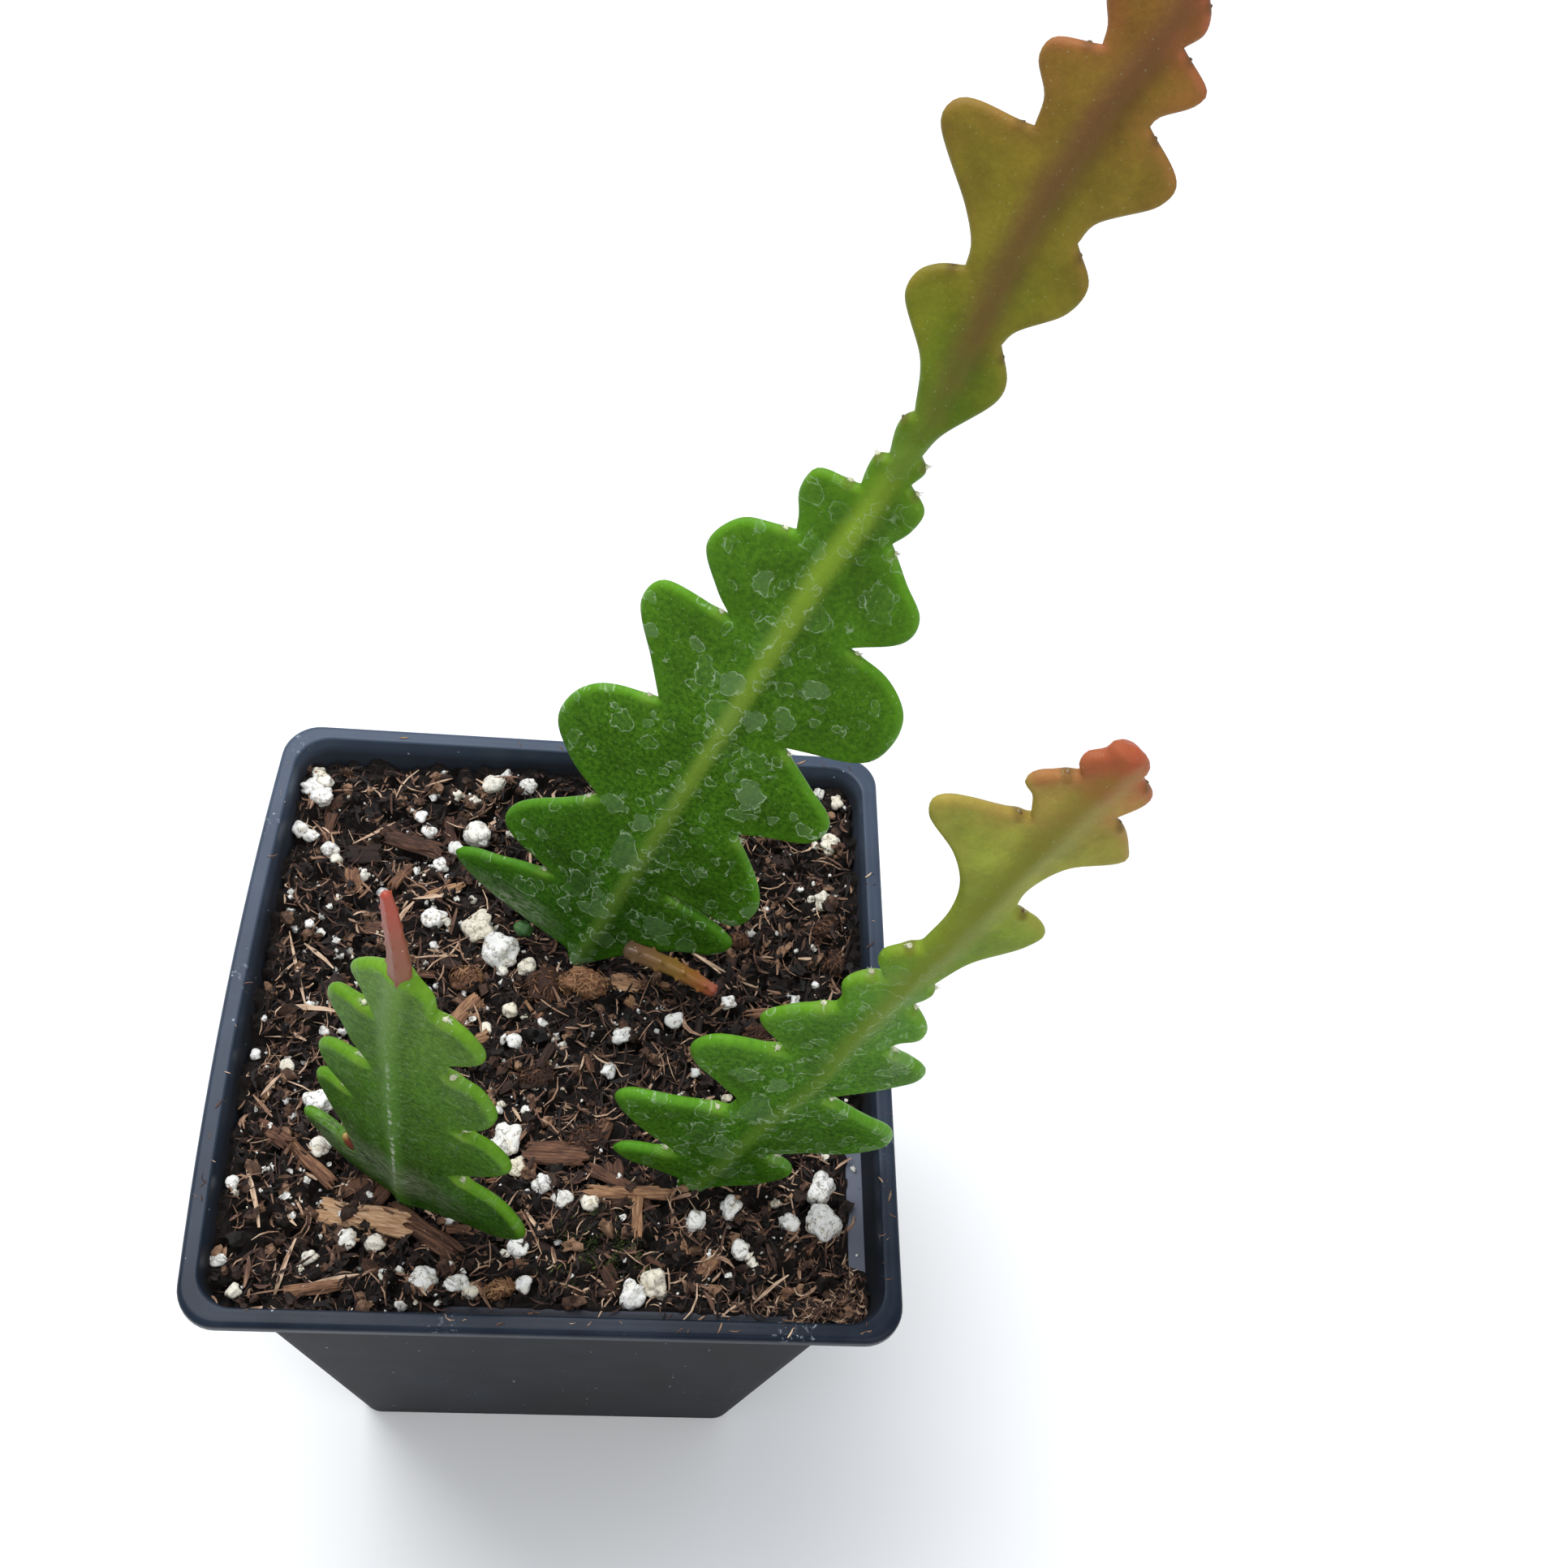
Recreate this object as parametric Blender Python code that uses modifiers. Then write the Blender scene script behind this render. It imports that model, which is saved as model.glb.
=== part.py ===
"""Potted fishbone cactus: a square nursery pot, its soil and three lobed flat stems.

Units are metres with +Z up. The origin is the middle of the pot's underside, and -Y is the front.
The driving dimensions below are in millimetres and are turned to metres by MM.
"""
import math
import random

import bmesh
import bpy
from mathutils import Matrix, Vector, noise

MM = 0.001

# Pot
RIM_HALF = 45.0
POT_HEIGHT = 88.0
BASE_HALF = 31.0
LIP_WIDTH = 2.4
LIP_DEPTH = 2.0
WALL = 1.0
COLLAR_DEPTH = 7.5
COLLAR_TAPER = 1.1
LEDGE_WIDTH = 2.2
CORNER_RADIUS = 5.0
DRAIN_RADIUS = 4.0
DRAIN_OFFSET = 17.0

# The thin rim isn't quite square: how far the left wall stands in at its corners and bows out
# halfway, and how far the back wall leans out
LEFT_PINCH = 0.95
LEFT_BOW = 1.57
BACK_LEAN = 0.6

# Soil
GAP = 0.3
SOIL_LEVEL = POT_HEIGHT - 8.2
SOIL_BANK = 4.0
SOIL_CELLS = 26
RELIEF = 1.0
HOLE_CLEARANCE = 0.5
HOLE_DEPTH = 12.5

# Stems
ROW_STEP = 1.25
FOOT_DEPTH = 12.0
FOOT_HALF = 1.7
FOOT_THICK = 2.9
RIB_HALF = 1.5
RIB_THICK = 3.4
RIB_SHOULDER_THICK = 2.5
BLADE_THICK = 1.9
MARGIN_THICK = 0.9
WING_CURL = 0.002

# Each stem grows from foot along rise. turn swings its right edge forward, in degrees, and the
# blade arches backward by arch at the station arch_at. sway shifts the midrib sideways, as
# (station, shift) pairs. A margin is a list of lobes, each from the notch below it to the notch
# above it, as points (station along the stem, reach to that side).
BACK_STEM = {
    "foot": (1.4, 12.6, POT_HEIGHT - 8.0),
    "rise": (0.332, 0.132, 0.934),
    "turn": 18.0,
    "arch": 12.0,
    "arch_at": 150.0,
    "sway": [(0, 0), (75, 0), (88, 0.8), (97, 1.3), (108, 0.5), (124, -0.9), (135, -0.6), (147, 1.0),
             (160, 0.2)],
    "left": [
        [(0.5, 2.0), (2.0, 12.5), (3.8, 20.5), (5.5, 22.9), (7.5, 21.5), (12.5, 9.5)],
        [(12.5, 9.5), (14.5, 16.5), (16.5, 18.9), (20.0, 18.5), (29.3, 9.5)],
        [(29.3, 9.5), (33.0, 15.5), (37.6, 19.1), (42.5, 18.8), (45.7, 16.6), (48.9, 9.0)],
        [(48.9, 9.0), (54.0, 12.8), (60.5, 17.0), (64.2, 15.8), (64.9, 6.5)],
        [(64.9, 6.5), (67.5, 9.6), (72.3, 13.4), (77.4, 11.2), (79.6, 5.1)],
        [(79.6, 5.1), (81.5, 5.8), (84.3, 7.2), (87.7, 6.7), (88.8, 1.5)],
        [(88.8, 1.5), (91.0, 1.9), (93.0, 1.8), (93.8, 0.6)],
        [(93.8, 0.6), (97.0, 1.5), (98.6, 1.4), (99.6, 0.7)],
        [(99.6, 0.7), (105.0, 3.2), (110.2, 8.2), (112.8, 8.2), (114.5, 6.8), (115.9, 4.2)],
        [(115.9, 4.2), (118.0, 4.8), (121.0, 7.3), (127.1, 14.0), (129.5, 13.3), (131.1, 5.5)],
        [(131.1, 5.5), (134.0, 6.2), (136.7, 8.6), (138.7, 8.4), (140.6, 3.9)],
        [(140.6, 3.9), (142.2, 4.4), (144.5, 6.0), (146.5, 6.2), (148.5, 3.0)],
        [(148.5, 3.0), (151.0, 4.4), (152.6, 4.2), (154.0, 2.0)],
        [(154.0, 2.0), (156.5, 2.7), (158.8, 2.0), (160.0, 0.6)],
    ],
    "right": [
        [(0.5, 2.0), (8.0, 8.0), (13.5, 16.0), (17.0, 17.2), (20.1, 5.7)],
        [(20.1, 5.7), (20.1, 15.7), (24.0, 17.3), (27.3, 16.5), (35.7, 9.0)],
        [(35.7, 9.0), (40.3, 17.8), (44.3, 18.5), (48.0, 13.5), (52.0, 7.7)],
        [(52.0, 7.7), (56.0, 17.6), (60.0, 19.0), (64.6, 18.1), (68.0, 14.0), (69.6, 7.7)],
        [(69.6, 7.7), (74.4, 13.1), (77.6, 12.9), (81.0, 9.0), (84.4, 5.2)],
        [(84.4, 5.2), (87.0, 6.3), (90.0, 6.3), (91.9, 3.4)],
        [(91.9, 3.4), (94.3, 4.0), (95.5, 2.7)],
        [(95.5, 2.7), (98.5, 3.2), (105.4, 6.4), (107.5, 6.2), (110.8, 3.5)],
        [(110.8, 3.5), (112.5, 3.9), (117.2, 7.6), (120.6, 7.9), (123.8, 4.5)],
        [(123.8, 4.5), (126.2, 4.9), (131.0, 9.5), (133.3, 9.8), (136.7, 4.3)],
        [(136.7, 4.3), (137.7, 4.5), (140.4, 7.0), (141.8, 7.3), (144.1, 3.0)],
        [(144.1, 3.0), (146.0, 4.0), (147.6, 3.6), (149.2, 2.2)],
        [(149.2, 2.2), (151.5, 3.8), (153.3, 3.4), (155.0, 2.0)],
        [(155.0, 2.0), (157.0, 2.6), (159.0, 1.8), (160.0, 0.6)],
    ],
}
RIGHT_STEM = {
    "foot": (18.7, -21.3, POT_HEIGHT - 8.0),
    "rise": (0.352, 0.035, 0.930),
    "turn": 4.0,
    "arch": 4.0,
    "arch_at": 100.0,
    "sway": [(0, 0), (20, 0), (32, 1.0), (45, 0), (90, 0), (96, 0.5), (98.9, 0.2)],
    "left": [
        [(0.5, 2.0), (1.1, 6.5), (1.2, 10.5), (2.7, 13.1), (4.3, 12.0), (7.2, 6.0)],
        [(7.2, 6.0), (8.5, 8.7), (11.8, 14.9), (15.1, 18.1), (17.3, 17.0), (20.2, 4.8)],
        [(20.2, 4.8), (23.1, 4.9), (25.2, 7.9), (28.5, 13.3), (31.2, 14.9), (34.5, 13.1), (36.4, 4.6)],
        [(36.4, 4.6), (38.3, 7.5), (41.1, 10.7), (45.5, 8.4), (48.0, 4.5)],
        [(48.0, 4.5), (49.7, 4.6), (52.3, 5.9), (54.4, 5.2), (56.0, 2.8)],
        [(56.0, 2.8), (57.8, 4.5), (59.3, 4.7), (61.0, 3.5), (62.6, 1.8)],
        [(62.6, 1.8), (68.2, 1.9), (73.5, 3.6), (77.6, 6.9), (81.1, 11.9), (83.2, 12.7), (84.6, 11.5),
         (86.2, 3.1)],
        [(86.2, 3.1), (88.7, 4.6), (90.0, 6.3), (91.5, 6.0), (93.7, 2.3)],
        [(93.7, 2.3), (95.0, 2.9), (96.8, 2.9), (98.2, 2.0), (98.9, 0.8)],
    ],
    "right": [
        [(0.5, 2.0), (4.2, 6.6), (9.1, 9.9), (11.0, 9.0), (13.1, 4.8)],
        [(13.1, 4.8), (19.3, 16.1), (21.2, 17.4), (23.3, 17.3), (25.6, 15.7), (29.5, 4.0)],
        [(29.5, 4.0), (35.9, 10.9), (38.0, 12.3), (40.3, 12.2), (42.0, 9.5), (43.2, 5.0)],
        [(43.2, 5.0), (44.9, 5.8), (46.7, 7.5), (48.6, 7.4), (50.8, 5.5), (52.4, 2.8)],
        [(52.4, 2.8), (54.5, 4.0), (55.9, 4.0), (57.3, 3.1)],
        [(57.3, 3.1), (62.9, 4.6), (68.1, 8.5), (70.3, 9.2), (72.0, 7.5), (73.2, 3.5)],
        [(73.2, 3.5), (76.5, 3.0), (81.2, 4.5), (85.4, 9.1), (87.0, 8.2), (89.2, 6.1), (90.0, 4.2)],
        [(90.0, 4.2), (93.3, 5.9), (94.5, 5.7), (96.2, 3.2)],
        [(96.2, 3.2), (97.2, 3.3), (98.3, 2.4), (98.9, 0.8)],
    ],
}
LEFT_STEM = {
    "foot": (-18.9, -24.7, POT_HEIGHT - 8.5),
    "rise": (0.030, -0.005, 0.999),
    "turn": 28.0,
    "arch": 1.5,
    "arch_at": 60.0,
    "sway": [(0, 0), (5, -0.6), (45, -0.6), (60, 0.4)],
    "left": [
        [(0.3, 1.7), (1.2, 6.8), (3.9, 11.7), (6.5, 15.0), (8.8, 16.0), (9.8, 14.0), (7.9, 7.7)],
        [(7.9, 7.7), (13.3, 9.3), (18.9, 11.7), (22.6, 12.8), (24.5, 12.2), (25.0, 7.3)],
        [(25.0, 7.3), (28.4, 10.4), (32.6, 11.6), (34.5, 10.0), (36.3, 4.0)],
        [(36.3, 4.0), (40.8, 6.8), (46.5, 9.5), (48.8, 8.5), (48.9, 3.2)],
        [(48.9, 3.2), (53.5, 4.9), (56.4, 5.7), (58.6, 4.0), (60.0, 1.2)],
    ],
    "right": [
        [(0.3, 1.7), (2.6, 8.0), (5.0, 14.2), (8.2, 17.3), (10.3, 17.2), (13.0, 14.8), (16.8, 7.3)],
        [(16.8, 7.3), (21.1, 11.6), (25.8, 14.8), (28.0, 14.6), (30.6, 12.3), (31.0, 7.4)],
        [(31.0, 7.4), (34.4, 11.3), (36.9, 12.5), (39.0, 12.6), (42.0, 10.5), (42.8, 5.7)],
        [(42.8, 5.7), (45.4, 6.9), (49.4, 10.6), (51.5, 10.6), (54.5, 8.5), (55.2, 4.8)],
        [(55.2, 4.8), (57.5, 4.3), (59.0, 2.8), (60.0, 1.2)],
    ],
}

# The round shoot beside the big stem's foot, as points (x, y, height above the rim, radius), and
# the one that grows on from the left stem's tip, as points (station, reach, radius)
BASAL_SHOOT = [
    (2.2, 13.0, -5.6, 1.2),
    (7.0, 12.9, -5.3, 1.45),
    (13.8, 10.2, -4.4, 1.5),
    (19.0, 6.3, -3.5, 1.25),
    (21.6, 3.9, -2.9, 0.7),
]
TOP_SHOOT = [
    (53.0, 0.3, 1.0),
    (58.8, 0.4, 1.35),
    (63.4, 0.1, 1.15),
    (68.0, -0.5, 0.95),
    (71.5, -1.0, 0.85),
    (73.2, -1.3, 0.55),
]

# Large perlite lumps on the soil: x, y and radius
LARGE_PERLITE = [
    (-31, -19, 1.4), (-26, -31, 1.3), (-22.5, -31.5, 1.2), (-30.5, -33.5, 1.1), (-15.5, -36, 1.6),
    (-11.5, -36.5, 1.3), (-9.5, -37.5, 1.1), (-4, -31.5, 1.3), (-3, -36.5, 1.2), (-7, -16.5, 2.2),
    (-5, -20.5, 1.4), (-1.5, -22.5, 1.5), (1, -24.5, 1.3), (5, -25, 1.2), (12.5, -36.5, 2.3),
    (23.5, -25, 1.5), (19, -27, 1.4), (36, -22, 2.0), (36, -27, 2.2), (31.5, -27, 1.4),
    (25, -31, 1.4), (38, 32, 1.5), (37, 22, 1.4), (23, 6, 1.1), (-39, 39, 1.3), (-38, 35, 1.5),
    (-39, 29, 1.1), (-36, 27, 1.3), (-22, 31, 1.1), (-18, 29, 1.2), (-15, 31, 2.2), (-20, 26, 1.1),
    (-13, 39, 1.6), (-8, 39, 1.4), (-7, 35, 1.2), (-31, 24, 1.1), (-20, 17, 1.6), (-13.5, 16.5, 2.3),
    (-10, 12, 2.5), (-6, 10, 1.4), (-11, 0, 1.0), (-7, -2, 1.1), (-8, 3, 1.1), (-32, -12.5, 2.0),
    (6.5, -5.5, 1.1), (8, 0, 1.4), (15.5, 2.5, 1.2), (-37, -8, 1.0),
]
# Bark chips, twigs and clumps of fibre: x, y, turn in degrees, length, width and thickness
BARK = [
    (-24, -28, -12, 10.5, 3.0, 2.2), (-16.3, -29.9, -30, 9.5, 2.8, 2.2), (7.4, -21.5, -26, 5.9, 1.8, 1.7),
    (11.2, -26, -88, 6.0, 1.6, 1.6), (10.5, -23.2, 1, 10.5, 1.8, 1.7), (22, -31.5, 66, 6.5, 2.6, 1.9),
    (31, 4.5, 4, 10.0, 1.8, 1.6), (-14.5, 2, 27, 6.9, 4.0, 2.4), (-25.5, 24, 58, 4.0, 1.6, 1.5),
    (-19, 22, 20, 6.0, 1.6, 1.5), (-38, 4, -72, 8.0, 1.3, 1.3), (-33.5, 0, -6, 7.5, 1.3, 1.3),
    (-29, -23.5, -17, 4.6, 2.2, 1.7), (-36.5, -26, -72, 7.5, 1.5, 1.4), (-30, -36.5, 8, 6.5, 1.8, 1.6),
    (-37, -18, -30, 4.5, 2.0, 1.7), (2.5, 7.5, 3, 5.6, 4.0, 2.9), (-3.8, 6, 10, 4.0, 3.4, 2.7),
    (-14.5, 8, 3, 5.0, 3.4, 2.5), (-3.6, -7.2, 10, 4.8, 3.0, 2.3), (0, -18, -2, 7.5, 3.4, 2.4),
    (-24, 29, -13, 7.5, 3.0, 1.9), (37, 17, 40, 4.0, 2.8, 2.1), (38, 11, 80, 4.5, 2.8, 2.2),
    (24.5, 16, 0, 2.8, 2.4, 2.0), (27, 1, 20, 4.0, 3.0, 2.1),
]
SMALL_PERLITE_COUNT = 16
SEED = 11


def clear_scene():
    for obj in list(bpy.data.objects):
        bpy.data.objects.remove(obj, do_unlink=True)


def collection(name):
    found = bpy.data.collections.get(name)
    if found is None:
        found = bpy.data.collections.new(name)
        bpy.context.scene.collection.children.link(found)
    return found


def material(name, color, roughness, metallic=0.0):
    mat = bpy.data.materials.new(name)
    mat.use_nodes = True
    shader = mat.node_tree.nodes["Principled BSDF"]
    shader.inputs["Base Color"].default_value = (*color, 1.0)
    shader.inputs["Roughness"].default_value = roughness
    shader.inputs["Metallic"].default_value = metallic
    return mat


def new_object(name, bm, group):
    mesh = bpy.data.meshes.new(name)
    bm.to_mesh(mesh)
    bm.free()
    obj = bpy.data.objects.new(name, mesh)
    collection(group).objects.link(obj)
    return obj


def hide_cutter(obj):
    obj.hide_render = True
    obj.display_type = "WIRE"


def evaluated_mesh(obj):
    bpy.context.view_layer.update()
    graph = bpy.context.evaluated_depsgraph_get()
    return bpy.data.meshes.new_from_object(obj.evaluated_get(graph), depsgraph=graph)


def apply_modifiers(obj):
    mesh = evaluated_mesh(obj)
    obj.modifiers.clear()
    obj.data = mesh


def rounded_square(half, radius, arc_steps=4, side_cuts=3):
    """Corner points of a square with round corners, anticlockwise from the front right corner."""
    points = []
    for quarter in range(4):
        turn = Matrix.Rotation(math.radians(90 * quarter), 2)
        centre = Vector((half - radius, -half + radius))
        for step in range(arc_steps + 1):
            angle = math.radians(-90 + 90 * step / arc_steps)
            points.append(turn @ (centre + radius * Vector((math.cos(angle), math.sin(angle)))))
        start = Vector((half, -half + radius))
        for cut in range(1, side_cuts + 1):
            along = 2 * (half - radius) * cut / (side_cuts + 1)
            points.append(turn @ (start + Vector((0, along))))
    return points


def settle(bm):
    """Bends the left and back walls, more so towards the rim. The soil follows the pot."""
    for vert in bm.verts:
        lift = vert.co.z / POT_HEIGHT
        left = min(1.0, max(0.0, -vert.co.x / (RIM_HALF * MM)))
        back = min(1.0, max(0.0, vert.co.y / (RIM_HALF * MM)))
        across = min(1.0, abs(vert.co.y) / (RIM_HALF * MM))
        vert.co.x += (LEFT_PINCH - LEFT_BOW * (1 - across ** 2)) * lift * left ** 2
        vert.co.y += BACK_LEAN * lift * back ** 2


def make_pot():
    """One thin-walled pot, drawn up from its underside ring by ring and back down inside."""
    ledge = POT_HEIGHT - COLLAR_DEPTH
    inner_rim = RIM_HALF - LIP_WIDTH
    collar = inner_rim - COLLAR_TAPER
    body = collar - LEDGE_WIDTH
    rings = [
        (body + WALL, ledge - WALL),
        (collar + WALL, ledge - WALL),
        (inner_rim + 0.9, POT_HEIGHT - LIP_DEPTH),
        (RIM_HALF - 0.5, POT_HEIGHT - LIP_DEPTH),
        (RIM_HALF, POT_HEIGHT - LIP_DEPTH + 0.5),
        (RIM_HALF, POT_HEIGHT - 0.7),
        (RIM_HALF - 0.6, POT_HEIGHT),
        (inner_rim + 0.4, POT_HEIGHT),
        (inner_rim, POT_HEIGHT - 0.4),
        (collar, ledge),
        (body, ledge),
        (BASE_HALF - WALL, WALL + 0.6),
        (BASE_HALF - WALL - 0.6, WALL),
    ]
    bm = bmesh.new()
    outline = rounded_square(BASE_HALF, CORNER_RADIUS * BASE_HALF / RIM_HALF)
    face = bm.faces.new([bm.verts.new((p.x * MM, p.y * MM, 0.0)) for p in outline])
    if face.normal.z > 0:
        face.normal_flip()
    top = face
    half = BASE_HALF
    for next_half, height in rings:
        grown = bmesh.ops.extrude_face_region(bm, geom=[top, *top.edges, *top.verts])
        top = next(item for item in grown["geom"] if isinstance(item, bmesh.types.BMFace))
        for vert in top.verts:
            vert.co.x *= next_half / half
            vert.co.y *= next_half / half
            vert.co.z = height * MM
        half = next_half
    settle(bm)
    bmesh.ops.recalc_face_normals(bm, faces=bm.faces)
    pot = new_object("pot", bm, "potted_fishbone_cactus")
    for index, (side_x, side_y) in enumerate([(1, 1), (-1, 1), (-1, -1), (1, -1)]):
        bm = bmesh.new()
        bmesh.ops.create_cone(
            bm, cap_ends=True, segments=16, radius1=DRAIN_RADIUS * MM, radius2=DRAIN_RADIUS * MM,
            depth=10 * MM,
            matrix=Matrix.Translation((side_x * DRAIN_OFFSET * MM, side_y * DRAIN_OFFSET * MM, 0)))
        cutter = new_object(f"drain_{index + 1}", bm, "cutters")
        hide_cutter(cutter)
        cut = pot.modifiers.new(cutter.name, "BOOLEAN")
        cut.operation = "DIFFERENCE"
        cut.object = cutter
    pot.data.materials.append(material("black_plastic", (0.030, 0.035, 0.045), 0.38))
    return pot


def ease(share):
    share = min(1.0, max(0.0, share))
    return share * share * (3 - 2 * share)


class Blade:
    """Places a point of a stem's blade, given its station and its reach, in metres."""

    def __init__(self, spec):
        self.spec = spec
        self.foot = Vector(spec["foot"])
        self.rise = Vector(spec["rise"]).normalized()
        across = (Vector((1, 0, 0)) - self.rise.x * self.rise).normalized()
        away = self.rise.cross(across)
        turn = math.radians(spec["turn"])
        self.across = math.cos(turn) * across - math.sin(turn) * away
        self.back = self.rise.cross(self.across)

    def point(self, station, reach):
        arch = self.spec["arch"] * (max(station, 0.0) / self.spec["arch_at"]) ** 2
        depth = arch + WING_CURL * reach ** 2
        place = self.foot + station * self.rise + reach * self.across + depth * self.back
        return place * MM

    def sway(self, station):
        keys = self.spec["sway"]
        for (low, start), (high, end) in zip(keys, keys[1:]):
            if low <= station <= high:
                return start + (end - start) * ease((station - low) / (high - low))
        return 0.0


def smooth_curve(points, steps=8):
    """A centripetal Catmull-Rom curve through 2D points."""
    pts = [Vector(p) for p in points]
    pts = [2 * pts[0] - pts[1]] + pts + [2 * pts[-1] - pts[-2]]
    curve = []
    for p0, p1, p2, p3 in zip(pts, pts[1:], pts[2:], pts[3:]):
        t1 = math.sqrt((p1 - p0).length)
        t2 = t1 + math.sqrt((p2 - p1).length)
        t3 = t2 + math.sqrt((p3 - p2).length)
        for step in range(steps):
            t = t1 + (t2 - t1) * step / steps
            a1 = p0.lerp(p1, t / t1)
            a2 = p1.lerp(p2, (t - t1) / (t2 - t1))
            a3 = p2.lerp(p3, (t - t2) / (t3 - t2))
            b1 = a1.lerp(a2, t / t2)
            b2 = a2.lerp(a3, (t - t1) / (t3 - t1))
            curve.append(b1.lerp(b2, (t - t1) / (t2 - t1)))
    curve.append(pts[-2])
    return curve


class Margin:
    """One lobed edge of a stem. A midrib station leads to a point on the edge beside it."""

    def __init__(self, lobes):
        self.notches = [lobe[0][0] for lobe in lobes] + [lobes[-1][-1][0]]
        self.curves = [smooth_curve(lobe) for lobe in lobes]

    def at(self, station):
        if station <= self.notches[0]:
            return station, FOOT_HALF
        for low, high, curve in zip(self.notches, self.notches[1:], self.curves):
            if station <= high + 1e-6:
                return self.along(curve, (station - low) / (high - low))
        return self.curves[-1][-1]

    @staticmethod
    def along(curve, share):
        lengths = [(b - a).length for a, b in zip(curve, curve[1:])]
        wanted = min(max(share, 0.0), 1.0) * sum(lengths)
        for start, end, length in zip(curve, curve[1:], lengths):
            if wanted <= length:
                return start.lerp(end, wanted / length)
            wanted -= length
        return curve[-1]


def row_stations(left, right):
    """Stations of the rows across a blade: every notch of both margins, and steps between."""
    fixed = sorted(set([-FOOT_DEPTH] + left.notches + right.notches))
    merged = [fixed[0]]
    for station in fixed[1:]:
        if station - merged[-1] > 0.35:
            merged.append(station)
    merged[-1] = fixed[-1]
    rows = [merged[0]]
    for low, high in zip(merged, merged[1:]):
        step = 4.0 if low < 0 else ROW_STEP
        count = max(1, round((high - low) / step))
        rows += [low + (high - low) * (k + 1) / count for k in range(count)]
    return rows


def blade_section(edge_left, edge_right, station, middle):
    """The points across one row with their thicknesses, from the left edge to the right edge."""
    section = []
    for side, (edge_station, edge_reach) in ((-1, edge_left), (1, edge_right)):
        width = side * edge_reach - middle
        share = min(RIB_HALF / abs(width), 0.45)
        half = []
        for part, thick in ((1.0, MARGIN_THICK), (0.55, BLADE_THICK), (share, RIB_SHOULDER_THICK)):
            place = station + (edge_station - station) * part
            half.append((place, middle + width * part, thick))
        section += half if side < 0 else [(station, middle, RIB_THICK)] + half[::-1]
    return section


def make_blade(name, spec):
    blade = Blade(spec)
    left = Margin(spec["left"])
    right = Margin(spec["right"])
    rows = row_stations(left, right)
    columns = 7
    bm = bmesh.new()
    bmesh.ops.create_grid(bm, x_segments=columns - 1, y_segments=len(rows) - 1, size=0.5)
    weights = bm.verts.layers.deform.verify()
    for vert in bm.verts:
        column = round((vert.co.x + 0.5) * (columns - 1))
        row = rows[round((vert.co.y + 0.5) * (len(rows) - 1))]
        section = blade_section(left.at(row), right.at(row), row, blade.sway(row))
        station, reach, thick = section[column]
        if row < 0:
            thick = FOOT_THICK
        vert.co = blade.point(station, reach)
        vert[weights][0] = thick / RIB_THICK
    bmesh.ops.triangulate(bm, faces=bm.faces)
    bmesh.ops.recalc_face_normals(bm, faces=bm.faces)
    obj = new_object(name, bm, "potted_fishbone_cactus")
    obj.vertex_groups.new(name="thickness")
    skin = obj.modifiers.new("thickness", "SOLIDIFY")
    skin.thickness = RIB_THICK * MM
    skin.offset = 0.0
    skin.vertex_group = "thickness"
    skin.thickness_vertex_group = 0.0
    return obj


def make_shoot(name, points, radii):
    """A tapering round shoot, made a mesh so that it can be joined to the stem it grows from."""
    curve = bpy.data.curves.new(name, "CURVE")
    curve.dimensions = "3D"
    curve.bevel_depth = MM
    curve.bevel_resolution = 2
    curve.use_fill_caps = True
    curve.resolution_u = 3
    spline = curve.splines.new("NURBS")
    spline.use_endpoint_u = True
    spline.order_u = 3
    spline.points.add(len(points) - 1)
    for point, place, radius in zip(spline.points, points, radii):
        point.co = (*place, 1.0)
        point.radius = radius
    tube = bpy.data.objects.new(name + "_curve", curve)
    collection("cutters").objects.link(tube)
    mesh = evaluated_mesh(tube)
    bpy.data.objects.remove(tube, do_unlink=True)
    bm = bmesh.new()
    bm.from_mesh(mesh)
    bmesh.ops.remove_doubles(bm, verts=bm.verts, dist=0.00001)
    bmesh.ops.recalc_face_normals(bm, faces=bm.faces)
    shoot = new_object(name, bm, "cutters")
    hide_cutter(shoot)
    return shoot


def join_shoot(stem, shoot):
    union = stem.modifiers.new(shoot.name, "BOOLEAN")
    union.operation = "UNION"
    union.object = shoot


def bank(x, y):
    """How far the soil is heaped against the walls, from 0 to 1. The near right side is bare."""
    back = ease((y - 20) / 20)
    left = ease((-x - 28) / 13) * 0.9
    right = ease((x - 30) / 10) * ease((y + 16) / 8)
    front = ease((-y - 34) / 7) * ease((-x - 10) / 8) * 0.6
    corner = ease(1 - math.hypot(x - 43, y + 43) / 11)
    return max(back, left, right, front, corner)


def relief(x, y):
    """Height of the soil's crumbly surface in millimetres, smooth round the stems' feet."""
    place = Vector((x / 8.0, y / 8.0, 3.7))
    rough = RELIEF * (0.9 * noise.noise(place) + 0.6 * noise.noise(place * 2.7))
    calm = 1.0
    for spec in (BACK_STEM, RIGHT_STEM, LEFT_STEM):
        away = math.hypot(x - spec["foot"][0], y - spec["foot"][1])
        calm = min(calm, away / 9.0)
    return SOIL_LEVEL + SOIL_BANK * bank(x, y) + rough * calm


def scatter(rng, count, radius_range):
    """Seeded places for small lumps, clear of the large ones and of the rim."""
    placed = []
    while len(placed) < count:
        x = rng.uniform(-37, 37)
        y = rng.uniform(-37, 37)
        radius = rng.uniform(*radius_range)
        near = [(px, py, pr) for px, py, pr in LARGE_PERLITE + placed
                if math.hypot(px - x, py - y) < pr + radius + 1.0]
        if not near and not near_a_blade(x, y, 3.0):
            placed.append((x, y, radius))
    return placed


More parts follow.
